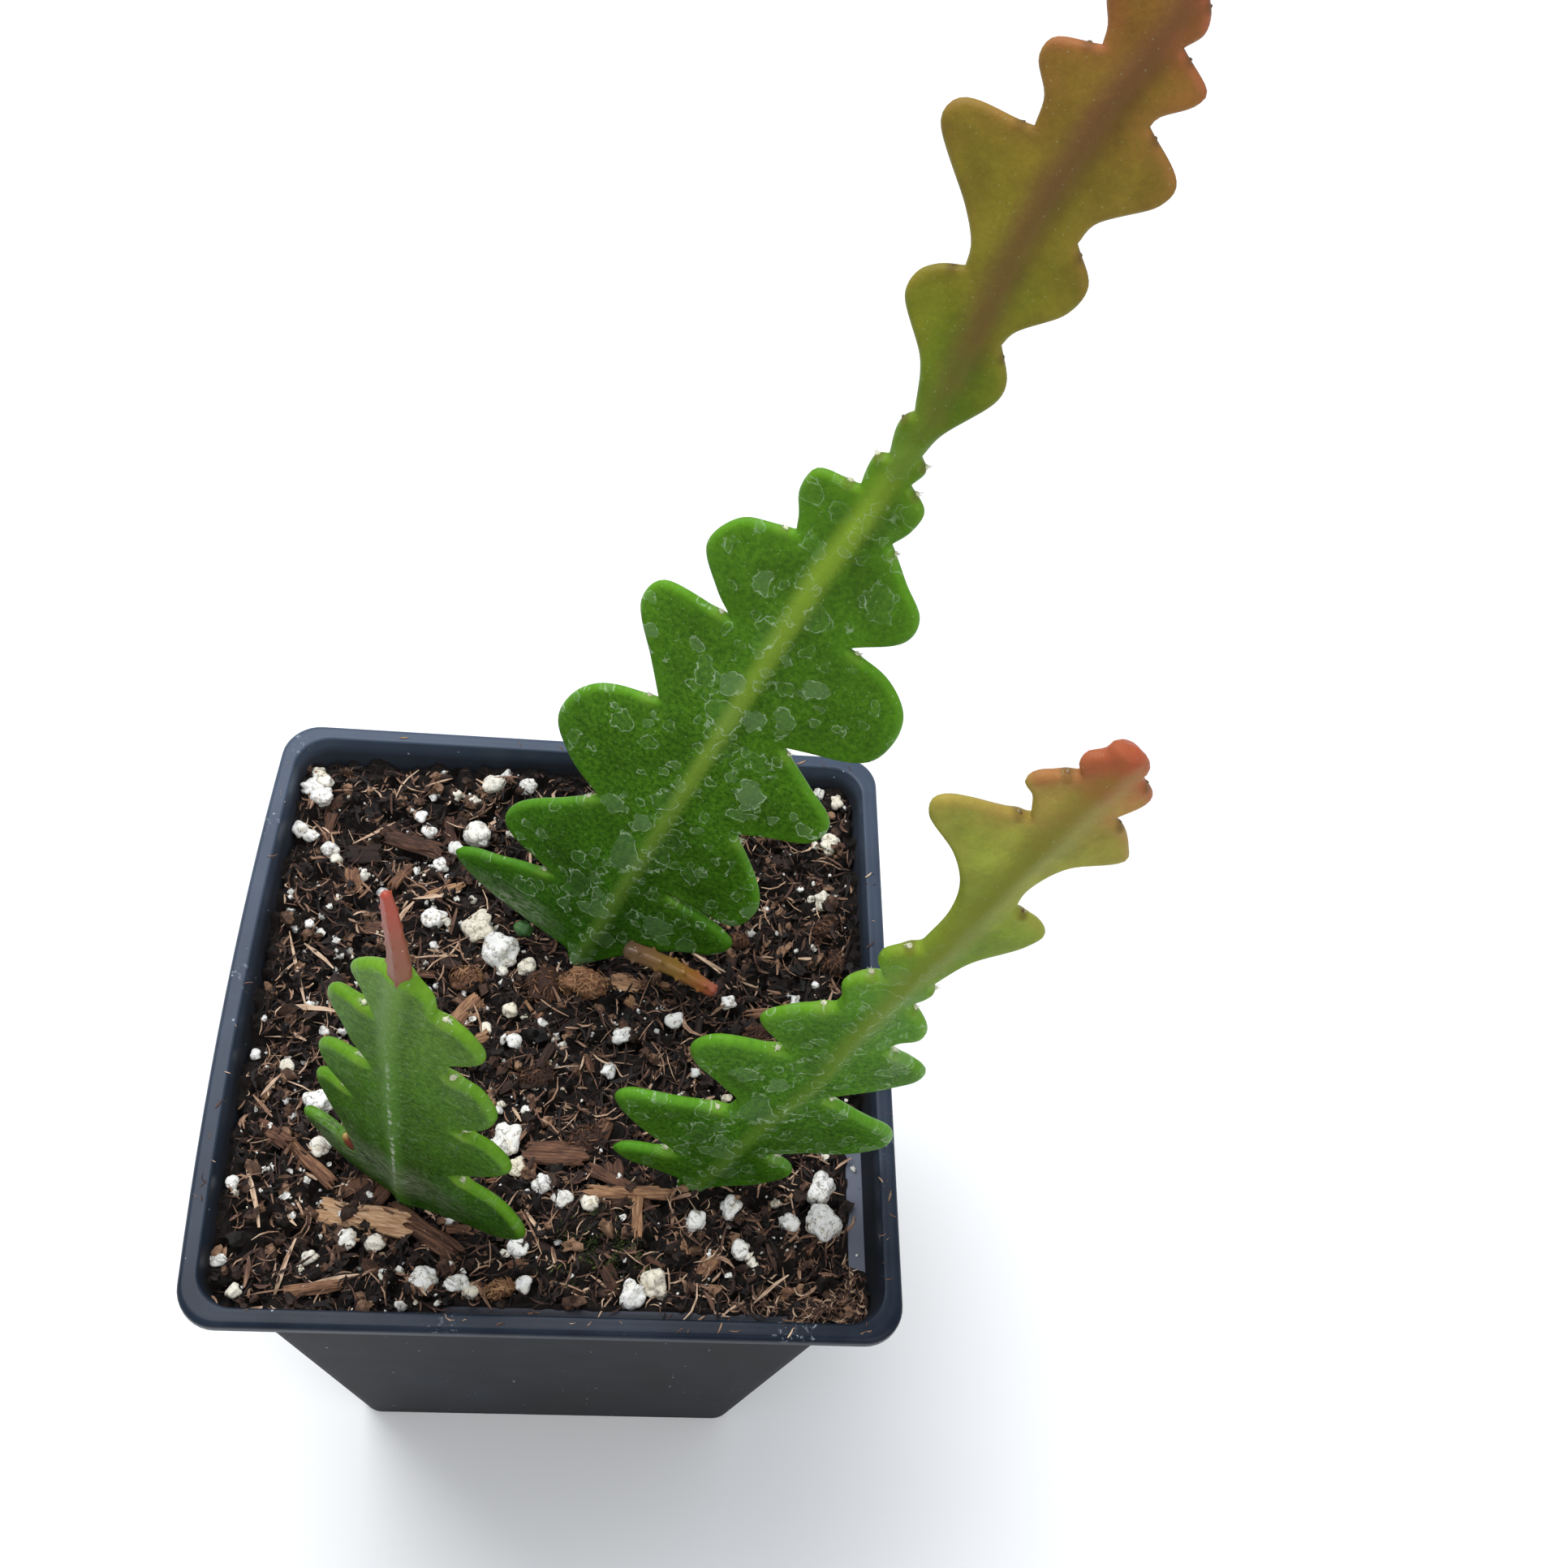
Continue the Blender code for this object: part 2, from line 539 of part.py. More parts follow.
def near_a_blade(x, y, distance):
    """True close to the line on the soil over which a stem's lowest lobes hang."""
    for spec in (BACK_STEM, RIGHT_STEM, LEFT_STEM):
        blade = Blade(spec)
        ends = [blade.point(4.0, reach).xy / MM for reach in (-19.0, 19.0)]
        along = ends[1] - ends[0]
        share = min(1.0, max(0.0, (Vector((x, y)) - ends[0]).dot(along) / along.length_squared))
        if (ends[0] + share * along - Vector((x, y))).length < distance:
            return True
    return False


def soil_bits():
    """Perlite lumps and bark chips, rooted well into the soil, in a collection of their own."""
    rng = random.Random(SEED)
    small = scatter(rng, SMALL_PERLITE_COUNT, (0.8, 1.3))
    for index, (x, y, radius) in enumerate(LARGE_PERLITE + small):
        bm = bmesh.new()
        bmesh.ops.create_icosphere(bm, subdivisions=1, radius=radius * MM)
        for vert in bm.verts:
            vert.co *= rng.uniform(0.82, 1.12)
            vert.co.z *= 0.8
        spin = Matrix.Rotation(rng.uniform(0, 6.28), 4, "Z")
        place = Matrix.Translation((x * MM, y * MM, (relief(x, y) + 0.30 * radius) * MM))
        bmesh.ops.transform(bm, matrix=place @ spin, verts=bm.verts)
        hide_cutter(new_object(f"perlite_{index:02d}", bm, "soil_bits"))
    for index, (x, y, turn, length, width, thick) in enumerate(BARK):
        bm = bmesh.new()
        bmesh.ops.create_cube(bm, size=MM)
        bmesh.ops.scale(bm, vec=(length, width, thick), verts=bm.verts)
        for vert in bm.verts:
            vert.co.x *= rng.uniform(0.85, 1.1)
            vert.co.y *= rng.uniform(0.75, 1.1)
        tilt = Matrix.Rotation(math.radians(rng.uniform(-9, 9)), 4, "Y")
        spin = Matrix.Rotation(math.radians(turn), 4, "Z")
        place = Matrix.Translation((x * MM, y * MM, (relief(x, y) + 0.15 * thick) * MM))
        bmesh.ops.transform(bm, matrix=place @ spin @ tilt, verts=bm.verts)
        hide_cutter(new_object(f"bark_{index:02d}", bm, "soil_bits"))


def box_cutter(name, low, high):
    bm = bmesh.new()
    bmesh.ops.create_cube(bm, size=1.0)
    size = [(b - a) * MM for a, b in zip(low, high)]
    middle = [(a + b) / 2 * MM for a, b in zip(low, high)]
    bmesh.ops.scale(bm, vec=size, verts=bm.verts)
    bmesh.ops.translate(bm, vec=middle, verts=bm.verts)
    cutter = new_object(name, bm, "cutters")
    hide_cutter(cutter)
    return cutter


def hole_cutter(name, spec):
    """A blind hole in the soil along the stem's rise, wide enough for its foot."""
    blade = Blade(spec)
    depth = HOLE_DEPTH + 6.0
    middle = blade.foot + blade.rise * (6.0 - HOLE_DEPTH) / 2
    turn = Vector((0, 0, 1)).rotation_difference(blade.rise).to_matrix().to_4x4()
    bm = bmesh.new()
    radius = (math.hypot(FOOT_HALF, FOOT_THICK / 2) + HOLE_CLEARANCE) * MM
    bmesh.ops.create_cone(bm, cap_ends=True, segments=14, radius1=radius, radius2=radius,
                          depth=depth * MM, matrix=Matrix.Translation(middle * MM) @ turn)
    cutter = new_object(name, bm, "cutters")
    hide_cutter(cutter)
    return cutter


def make_soil():
    """Soil that fills the pot, with its surface raised by relief() and its lumps joined on."""
    ledge = POT_HEIGHT - COLLAR_DEPTH
    cover = RIM_HALF - LIP_WIDTH - COLLAR_TAPER - GAP
    body = cover - LEDGE_WIDTH
    bottom = BASE_HALF - WALL - 0.6 - GAP - 0.3
    bm = bmesh.new()
    bmesh.ops.create_grid(bm, x_segments=SOIL_CELLS, y_segments=SOIL_CELLS, size=cover * MM)
    cell = 2 * cover / SOIL_CELLS
    for vert in bm.verts:
        x, y = vert.co.x / MM, vert.co.y / MM
        height = relief(x, y)
        if vert.is_boundary:
            height = max(height, ledge + 0.8)
            if abs(abs(x) - abs(y)) < 0.1:
                x -= math.copysign(0.35 * cell, x)
                y -= math.copysign(0.35 * cell, y)
        vert.co = Vector((x, y, height)) * MM
    rim = [edge for edge in bm.edges if edge.is_boundary]
    for half, height in ((cover, ledge + GAP), (body, ledge + GAP), (bottom, WALL + GAP)):
        grown = bmesh.ops.extrude_edge_only(bm, edges=rim)
        verts = [item for item in grown["geom"] if isinstance(item, bmesh.types.BMVert)]
        rim = [item for item in grown["geom"] if isinstance(item, bmesh.types.BMEdge)]
        widest = max(abs(vert.co.x) for vert in verts) / MM
        for vert in verts:
            vert.co.x *= half / widest
            vert.co.y *= half / widest
            vert.co.z = height * MM
    bmesh.ops.contextual_create(bm, geom=rim)
    bmesh.ops.recalc_face_normals(bm, faces=bm.faces)
    settle(bm)
    soil = new_object("soil", bm, "potted_fishbone_cactus")

    soil_bits()
    union = soil.modifiers.new("lumps", "BOOLEAN")
    union.operation = "UNION"
    union.operand_type = "COLLECTION"
    union.collection = collection("soil_bits")
    union.solver = "MANIFOLD"
    apply_modifiers(soil)
    for bit in list(collection("soil_bits").objects):
        bpy.data.objects.remove(bit, do_unlink=True)

    inner = body - 0.2
    cutters = [
        box_cutter("bare_ledge_right", (inner, -33.0, ledge - 1.0), (50.0, -13.0, POT_HEIGHT)),
        box_cutter("bare_ledge_front", (-13.0, -50.0, ledge - 1.0), (31.0, -inner, POT_HEIGHT)),
        hole_cutter("hole_back", BACK_STEM),
        hole_cutter("hole_right", RIGHT_STEM),
        hole_cutter("hole_left", LEFT_STEM),
    ]
    for cutter in cutters:
        cut = soil.modifiers.new(cutter.name, "BOOLEAN")
        cut.operation = "DIFFERENCE"
        cut.object = cutter
        cut.solver = "MANIFOLD"
    soil.data.materials.clear()
    soil.data.materials.append(material("potting_soil", (0.045, 0.028, 0.018), 0.95))
    return soil


def main():
    clear_scene()
    make_pot()
    make_soil()
    green = material("stem_green", (0.075, 0.190, 0.020), 0.42)
    olive = material("stem_olive", (0.200, 0.210, 0.030), 0.42)
    back = make_blade("stem_back", BACK_STEM)
    places = [Vector((x, y, POT_HEIGHT + height)) * MM for x, y, height, radius in BASAL_SHOOT]
    join_shoot(back, make_shoot("basal_shoot", places, [point[-1] for point in BASAL_SHOOT]))
    back.data.materials.append(green)
    right = make_blade("stem_right", RIGHT_STEM)
    right.data.materials.append(olive)
    left = make_blade("stem_left", LEFT_STEM)
    blade = Blade(LEFT_STEM)
    places = [blade.point(station, reach) for station, reach, radius in TOP_SHOOT]
    join_shoot(left, make_shoot("top_shoot", places, [point[-1] for point in TOP_SHOOT]))
    left.data.materials.append(green)


main()
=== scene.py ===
"""Potted fishbone cactus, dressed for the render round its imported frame.

The frame's units are metres with +Z up. Sizes below are in millimetres unless they say otherwise.
"""

import math
import random
from bisect import bisect_left
from functools import partial

import bpy
import numpy as np
from bpy.props import FloatProperty, FloatVectorProperty, IntProperty, PointerProperty
from mathutils import Euler, Matrix, Vector, noise


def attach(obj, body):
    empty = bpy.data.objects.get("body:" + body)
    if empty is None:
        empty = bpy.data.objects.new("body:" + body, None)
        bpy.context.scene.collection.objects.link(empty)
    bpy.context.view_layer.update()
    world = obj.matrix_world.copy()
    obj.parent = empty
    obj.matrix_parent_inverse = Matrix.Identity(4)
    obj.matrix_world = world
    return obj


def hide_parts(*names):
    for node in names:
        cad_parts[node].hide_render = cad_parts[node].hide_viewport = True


bl_info = {
    "name": "Potted fishbone cactus",
    "version": (1, 0, 0),
    "blender": (4, 5, 0),
    "location": "3D View > Sidebar > Cactus",
    "description": "Models a fishbone cactus in its nursery pot, with its potting mix",
    "category": "Object",
}

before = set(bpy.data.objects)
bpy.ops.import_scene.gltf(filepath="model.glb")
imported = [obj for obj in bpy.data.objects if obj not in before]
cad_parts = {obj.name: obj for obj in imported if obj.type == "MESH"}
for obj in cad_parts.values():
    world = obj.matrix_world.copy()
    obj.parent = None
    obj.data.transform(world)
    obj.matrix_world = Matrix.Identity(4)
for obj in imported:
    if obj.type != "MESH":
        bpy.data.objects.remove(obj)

MM = 0.001

# Pot
RIM_HALF = 45.0
POT_HEIGHT = 88.0
BASE_HALF = 31.0
WALL = 1.0
COLLAR_HALF = 41.5
INNER_RIM_HALF = 42.6
BODY_HALF = 39.3
LEDGE = POT_HEIGHT - 7.5
CORNER_RADIUS = 5.0
DRAIN_OFFSET = 17.0
LEFT_PINCH = 0.95
LEFT_BOW = 1.57
BACK_LEAN = 0.6
COLLAR_SLOPE = 0.155

# Soil
SOIL_LEVEL = POT_HEIGHT - 8.2
SOIL_BANK = 4.0
RELIEF = 1.0
SOIL_CELL = 0.36
HEAPED_CORNER = (43.0, -43.0)
# How many different shapes a loose bit comes in
GRAIN_KINDS = 6
CRUMB_KINDS = 8
SHRED_KINDS = 16
# How far from the pot's middle they are strewn
GRAIN_REACH = 41.0
CRUMB_REACH = 40.8
SHRED_REACH = 41.2
FIBRE_REACH = 40.0
CHIP_REACH = 37.0
# How many are strewn, beside those that a setting counts
RIM_SCRAPS = 170
LONG_FIBRES = 1900
SMALL_CHIPS = 290
CLUMP_STRANDS = 90
MOSS_LEAVES = 800

# Stems
ROW_STEP = 0.42
SIDE_COLUMNS = 19
FOOT_DEPTH = 12.0
FOOT_HALF = 1.7
WING_CURL = 0.002
MAX_THICK = 3.8
SHOOT_RIDGES = 5
# Points measured against an outline in one go, to save memory
AT_ONCE = 2000

# Each stem grows from foot along rise. turn swings its right edge forward, in degrees, and the
# blade arches backward by arch at the station arch_at. sway shifts the midrib sideways, as
# (station, shift) pairs. A margin is a list of lobes, each from the notch below it to the notch
# above it, as points (station along the stem, reach to that side). A lobe after the first starts at
# the last point of the one before.
BACK_STEM = {
    "foot": (1.4, 12.6, POT_HEIGHT - 8.0),
    "rise": (0.332, 0.132, 0.934),
    "turn": 18.0,
    "arch": 12.0,
    "arch_at": 150.0,
    "sway": [(0, 0), (75, 0), (88, 0.8), (97, 1.3), (108, 0.5), (124, -0.9), (135, -0.6),
             (147, 1.0), (160, 0.2)],
    "left": [
        [(0.5, 2.0), (2.0, 12.5), (3.8, 20.5), (5.5, 22.9), (7.5, 21.5), (12.5, 9.5)],
        [(14.5, 16.5), (16.5, 18.9), (20.0, 18.5), (29.3, 9.5)],
        [(33.0, 15.5), (37.6, 19.1), (42.5, 18.8), (45.7, 16.6), (48.9, 9.0)],
        [(54.0, 12.8), (60.5, 17.0), (64.2, 15.8), (64.9, 6.5)],
        [(67.5, 9.6), (72.3, 13.4), (77.4, 11.2), (79.6, 5.1)],
        [(81.5, 5.8), (84.3, 7.2), (87.7, 6.7), (88.8, 1.5)],
        [(91.0, 1.9), (93.0, 1.8), (93.8, 0.6)],
        [(97.0, 1.5), (98.6, 1.4), (99.6, 0.7)],
        [(105.0, 3.2), (110.2, 8.2), (112.8, 8.2), (114.5, 6.8), (115.9, 4.2)],
        [(118.0, 4.8), (121.0, 7.3), (127.1, 14.0), (129.5, 13.3), (131.1, 5.5)],
        [(134.0, 6.2), (136.7, 8.6), (138.7, 8.4), (140.6, 3.9)],
        [(142.2, 4.4), (144.5, 6.0), (146.5, 6.2), (148.5, 3.0)],
        [(151.0, 4.4), (152.6, 4.2), (154.0, 2.0)],
        [(156.5, 2.7), (158.8, 2.0), (160.0, 0.6)],
    ],
    "right": [
        [(0.5, 2.0), (8.0, 8.0), (13.5, 16.0), (17.0, 17.2), (20.1, 5.7)],
        [(20.1, 15.7), (24.0, 17.3), (27.3, 16.5), (35.7, 9.0)],
        [(40.3, 17.8), (44.3, 18.5), (48.0, 13.5), (52.0, 7.7)],
        [(56.0, 17.6), (60.0, 19.0), (64.6, 18.1), (68.0, 14.0), (69.6, 7.7)],
        [(74.4, 13.1), (77.6, 12.9), (81.0, 9.0), (84.4, 5.2)],
        [(87.0, 6.3), (90.0, 6.3), (91.9, 3.4)],
        [(94.3, 4.0), (95.5, 2.7)],
        [(98.5, 3.2), (105.4, 6.4), (107.5, 6.2), (110.8, 3.5)],
        [(112.5, 3.9), (117.2, 7.6), (120.6, 7.9), (123.8, 4.5)],
        [(126.2, 4.9), (131.0, 9.5), (133.3, 9.8), (136.7, 4.3)],
        [(137.7, 4.5), (140.4, 7.0), (141.8, 7.3), (144.1, 3.0)],
        [(146.0, 4.0), (147.6, 3.6), (149.2, 2.2)],
        [(151.5, 3.8), (153.3, 3.4), (155.0, 2.0)],
        [(157.0, 2.6), (159.0, 1.8), (160.0, 0.6)],
    ],
}
RIGHT_STEM = {
    "foot": (18.7, -21.3, POT_HEIGHT - 8.0),
    "rise": (0.352, 0.035, 0.930),
    "turn": 4.0,
    "arch": 4.0,
    "arch_at": 100.0,
    "sway": [(0, 0), (20, 0), (32, 1.0), (45, 0), (90, 0), (96, 0.5), (98.9, 0.2)],
    "left": [
        [(0.5, 2.0), (1.1, 6.5), (1.2, 10.5), (2.7, 13.1), (4.3, 12.0), (7.2, 6.0)],
        [(8.5, 8.7), (11.8, 14.9), (15.1, 18.1), (17.3, 17.0), (20.2, 4.8)],
        [(23.1, 4.9), (25.2, 7.9), (28.5, 13.3), (31.2, 14.9), (34.5, 13.1), (36.4, 4.6)],
        [(38.3, 7.5), (41.1, 10.7), (45.5, 8.4), (48.0, 4.5)],
        [(49.7, 4.6), (52.3, 5.9), (54.4, 5.2), (56.0, 2.8)],
        [(57.8, 4.5), (59.3, 4.7), (61.0, 3.5), (62.6, 1.8)],
        [(68.2, 1.9), (73.5, 3.6), (77.6, 6.9), (81.1, 11.9), (83.2, 12.7), (84.6, 11.5),
         (86.2, 3.1)],
        [(88.7, 4.6), (90.0, 6.3), (91.5, 6.0), (93.7, 2.3)],
        [(94.6, 3.1), (96.0, 3.2), (97.1, 2.1), (97.5, 1.8), (98.2, 1.9), (98.9, 0.8)],
    ],
    "right": [
        [(0.5, 2.0), (4.2, 6.6), (9.1, 9.9), (11.0, 9.0), (13.1, 4.8)],
        [(19.3, 16.1), (21.2, 17.4), (23.3, 17.3), (25.6, 15.7), (29.5, 4.0)],
        [(35.9, 10.9), (38.0, 12.3), (40.3, 12.2), (42.0, 9.5), (43.2, 5.0)],
        [(44.9, 5.8), (46.7, 7.5), (48.6, 7.4), (50.8, 5.5), (52.4, 2.8)],
        [(54.5, 4.0), (55.9, 4.0), (57.3, 3.1)],
        [(62.9, 4.6), (68.1, 8.5), (70.3, 9.2), (72.0, 7.5), (73.2, 3.5)],
        [(76.5, 3.0), (81.2, 4.5), (85.4, 9.1), (87.0, 8.2), (89.2, 6.1), (90.0, 4.2)],
        [(93.3, 5.9), (94.5, 5.7), (96.2, 3.2)],
        [(97.2, 3.3), (98.3, 2.4), (98.9, 0.8)],
    ],
}
LEFT_STEM = {
    "foot": (-18.9, -24.7, POT_HEIGHT - 8.5),
    "rise": (0.030, -0.005, 0.999),
    "turn": 28.0,
    "arch": 1.5,
    "arch_at": 60.0,
    "sway": [(0, 0), (5, -0.6), (45, -0.6), (60, 0.4)],
    "left": [
        [(0.3, 1.7), (1.2, 6.8), (3.9, 11.7), (6.5, 15.0), (8.8, 16.0), (9.8, 14.0), (7.9, 7.7)],
        [(13.3, 9.3), (18.9, 11.7), (22.6, 12.8), (24.5, 12.2), (25.0, 7.3)],
        [(28.4, 10.4), (32.6, 11.6), (34.5, 10.0), (36.3, 4.0)],
        [(40.8, 6.8), (46.5, 9.5), (48.8, 8.5), (48.9, 3.2)],
        [(53.5, 4.9), (56.4, 5.7), (58.6, 4.0), (60.0, 1.2)],
    ],
    "right": [
        [(0.3, 1.7), (2.6, 8.0), (5.0, 14.2), (8.2, 17.3), (10.3, 17.2), (13.0, 14.8), (16.8, 7.3)],
        [(21.1, 11.6), (25.8, 14.8), (28.0, 14.6), (30.6, 12.3), (31.0, 7.4)],
        [(34.4, 11.3), (36.9, 12.5), (39.0, 12.6), (42.0, 10.5), (42.8, 5.7)],
        [(45.4, 6.9), (49.4, 10.6), (51.5, 10.6), (54.5, 8.5), (55.2, 4.8)],
        [(57.5, 4.3), (59.0, 2.8), (60.0, 1.2)],
    ],
}
STEMS = (BACK_STEM, RIGHT_STEM, LEFT_STEM)

# The round shoot beside the big stem's foot, and a lobe no bigger than a lentil there, as points
# (x, y, height above the rim, radius)
BASAL_SHOOT = [(7.6, 10.4, -1.4, 1.35), (11.1, 9.0, -1.3, 1.3), (15.0, 7.5, -1.6, 1.2),
               (18.5, 5.8, -2.2, 1.1), (20.9, 4.7, -3.0, 0.9)]
FOOT_BUD = [(-5.7, 15.1, -6.4, 0.8), (-7.2, 15.1, -5.2, 1.15), (-8.3, 15.4, -4.9, 0.7)]
# The round shoot that grows on from the left stem's tip, and the bud low on that stem, as points
# (station, reach, depth, radius)
TOP_SHOOT = [(51.4, 0.35, 0, 0.5), (53.4, 0.3, 0, 1.0), (58.8, 0.4, 0, 1.35), (63.4, 0.1, 0, 1.15),
             (68.0, -0.5, 0, 0.95), (71.5, -1.0, 0, 0.85), (73.2, -1.3, 0, 0.55)]
RED_BUD = [(7.4, -7.6, -0.4, 0.5), (8.8, -8.6, -0.4, 0.65), (10.0, -9.2, -0.4, 0.45)]

# Perlite lumps on the soil that can be told apart: x, y and radius
PERLITE = [
    (-31, -19, 1.4), (-26, -31, 1.3), (-22.5, -31.5, 1.2), (-30.5, -33.5, 1.1), (-15.5, -36, 1.6),
    (-11.5, -36.5, 1.3), (-9.5, -37.5, 1.1), (-4, -31.5, 1.3), (-3, -36.5, 1.2), (-7, -16.5, 2.2),
    (-5, -20.5, 1.4), (-1.5, -22.5, 1.5), (1, -24.5, 1.3), (5, -25, 1.2), (13.7, -35.9, 2.0),
    (23.5, -25, 1.5), (19, -27, 1.4), (36, -22, 2.0), (36, -27, 2.2), (31.5, -27, 1.4),
    (25, -31, 1.4), (38, 32, 1.5), (37, 22, 1.4), (23, 6, 1.1), (-39, 39, 1.3), (-38, 35, 1.5),
    (-39, 29, 1.1), (-36, 27, 1.3), (-22, 31, 1.1), (-18, 29, 1.2), (-15, 31, 2.2), (-20, 26, 1.1),
    (-13, 39, 1.6), (-8, 39, 1.4), (-7, 35, 1.2), (-31, 24, 1.1), (-20, 17, 1.6),
    (-13.5, 16.5, 2.3), (-10, 12, 2.5), (-6, 10, 1.4), (-11, 0, 1.0), (-7, -2, 1.1), (-8, 3, 1.1),
    (-32, -12.5, 2.0),
    (6.5, -5.5, 1.1), (8, 0, 1.4), (15.5, 2.5, 1.2), (-37, -8, 1.0), (-41.5, -25.5, 0.8),
    (-41.5, -35.5, 0.9), (-39, -40, 0.9), (36.5, 41.5, 0.9), (42, 41, 1), (-40.5, 43, 1.1),
    (-42, 40.5, 0.9), (-40.5, 37, 1.5), (-42, 29.5, 1.1), (-35, 25.5, 0.8), (-23.5, 33, 0.9),
    (-16, 36, 0.9), (-9.5, 9.5, 0.9), (-19.5, 13, 0.7), (-37, 14, 0.7), (-41, -7, 0.7),
    (-4.5, -12, 0.8), (23, -9, 0.7), (18.5, -5.5, 0.7), (35.5, 8, 0.6), (11.1, -37.2, 1.7),
]
# Bark chips, twigs and clumps of fibre: x, y, turn in degrees, length, width, thickness, and how
# pale each is, from 0 to 1
BARK = [
    (-24, -28, -12, 10.5, 3.6, 2.2, 0.86), (-16.3, -29.9, -30, 9.5, 2.8, 2.2, 0.42),
    (-26, -23.5, 35, 4.6, 1.9, 1.2, 0.50), (-22.5, -24.5, 60, 4.2, 2.0, 1.2, 0.45),
    (7.4, -21.5, -26, 5.9, 1.8, 1.5, 0.40), (11.2, -26, -88, 6.0, 1.6, 1.4, 0.72),
    (10.5, -23.2, 1, 10.5, 1.8, 1.5, 0.72), (31, 4.5, 4, 9.0, 1.4, 1.2, 0.60),
    (-14.5, 2, 55, 6.5, 3.0, 2.0, 0.66), (-25.5, 24, 58, 4.0, 1.6, 1.5, 0.55),
    (-19, 22, 20, 5.0, 1.3, 1.2, 0.80), (-32, -21, -40, 7.5, 2.0, 1.2, 0.55),
    (-29, -38, 8, 6.5, 1.6, 1.3, 0.60), (-37, -18, -30, 4.5, 2.0, 1.7, 0.45),
    (2.2, 7.6, 3, 7.8, 4.6, 3.4, 0.80), (-3.6, 7.2, 60, 6.2, 5.2, 2.8, 0.40),
    (-14.5, 8, 3, 5.0, 3.8, 2.7, 0.62), (-3.6, -7.2, 10, 5.4, 3.2, 2.0, 0.30),
    (0, -18, -2, 7.5, 3.4, 2.4, 0.45), (3.5, -16, 30, 6.0, 4.0, 1.8, 0.35),
    (-24, 29, -13, 7.5, 3.4, 1.9, 0.30), (37, 17, 40, 4.0, 2.8, 2.1, 0.35),
    (38, 11, 80, 4.5, 2.8, 2.2, 0.30), (24.5, 16, 0, 2.8, 2.4, 2.0, 0.40),
    (27, 1, 20, 4.0, 3.0, 2.1, 0.35), (-6, -37, 20, 4.0, 2.4, 1.6, 0.80),
]
# Straws and twigs lying on the soil: x, y, turn in degrees, length and thickness
STRAWS = [
    (-37.5, 6.5, -71, 13.0, 0.55), (-34.5, 0.6, -7, 8.5, 0.9), (-35.0, 9.0, -40, 6.0, 0.7),
    (-24.5, 17.5, 62, 5.5, 0.9), (-20.0, 21.0, 18, 7.0, 0.8), (-38.0, -27.0, -70, 9.0, 0.9),
    (-33.0, -35.5, 78, 8.0, 0.8), (-27.0, -37.0, 15, 7.0, 0.7), (29.0, -36.0, 40, 6.0, 0.6),
    (36.5, 3.0, 70, 7.0, 0.6), (20.0, 12.0, -30, 6.0, 0.6), (-30.0, 30.0, 35, 7.0, 0.5),
    (26.0, 24.0, 60, 6.5, 0.6), (-2.0, -28.0, -50, 5.0, 0.6), (14.0, -14.0, 25, 5.5, 0.6),
]
# Dried lime on the rim: x, y, radius and strength
LIME = [
    (31.0, -44.0, 6.5, 1.0), (44.0, -19.0, 4.0, 0.8), (-44.5, 28.0, 4.0, 0.7),
    (-43.5, 3.0, 4.0, 0.7), (-42.0, 42.0, 5.0, 0.8), (-12.0, -44.0, 5.0, 0.5),
    (20.0, 44.0, 4.0, 0.6),
]
# Moss on the bare peat: x, y and radius of the patch
MOSS = (7.0, -30.5, 6.0)

# Camera, fitted to the corners of the pot's rim: its place in metres and its axes
CAMERA_PLACE = (0.00486, -0.11099, 0.29841)
CAMERA_RIGHT = (0.99342, -0.01082, 0.11401)
CAMERA_DOWN = (0.05727, -0.81518, -0.57636)
CAMERA_AHEAD = (0.09918, 0.57910, -0.80920)
CAMERA_LENS = 39.13

# What both lamps are turned to, in metres
LIT_SPOT = (0, 0, 0.08)


def srgb(text):
    """Turns a colour such as #3f6e1e to Blender's linear values."""
    parts = [int(text[i:i + 2], 16) / 255 for i in (1, 3, 5)]
    return tuple(c / 12.92 if c <= 0.04045 else ((c + 0.055) / 1.055) ** 2.4 for c in parts)


def colour(value):
    """A node's opaque colour, from a text, a grey or three linear values."""
    if isinstance(value, str):
        value = srgb(value)
    return (value, value, value, 1.0) if isinstance(value, float) else (*value, 1.0)


def ease(share):
    share = min(1.0, max(0.0, share))
    return share * share * (3 - 2 * share)


# Settings

# What a length and a share have in common
LENGTH = {"unit": "LENGTH", "subtype": "DISTANCE"}
SHARE = {"min": 0.0, "max": 1.0, "subtype": "FACTOR"}


class PotSettings(bpy.types.PropertyGroup):
    lip: FloatProperty(name="Lip", description="How deep the lip's outer face is",
                       default=2.0 * MM, **LENGTH)
    drain: FloatProperty(name="Drain holes", description="Radius of the four drain holes",
                         default=4.0 * MM, **LENGTH)
    plastic: FloatVectorProperty(name="Plastic", description="Colour of the moulded plastic",
                                 default=srgb("#0e1723"), subtype="COLOR")
    lime: FloatProperty(name="Lime", description="How much white lime has dried on the rim",
                        default=1.0, **SHARE)


class SoilSettings(bpy.types.PropertyGroup):
    seed: IntProperty(name="Seed", description="Chooses where loose bits lie", default=11)
    shreds: IntProperty(name="Shreds", description="Number of short coir and bark shreds",
                        default=8600)
    crumbs: IntProperty(name="Crumbs", description="Number of small dark peat crumbs", default=2600)
    fine_perlite: IntProperty(name="Fine perlite", description="Number of small perlite grains",
                              default=950)
    # Near black: painted shade in the gaps between the shreds
    peat: FloatVectorProperty(name="Peat", description="Colour of the damp peat",
                              default=srgb("#0e0906"), subtype="COLOR")


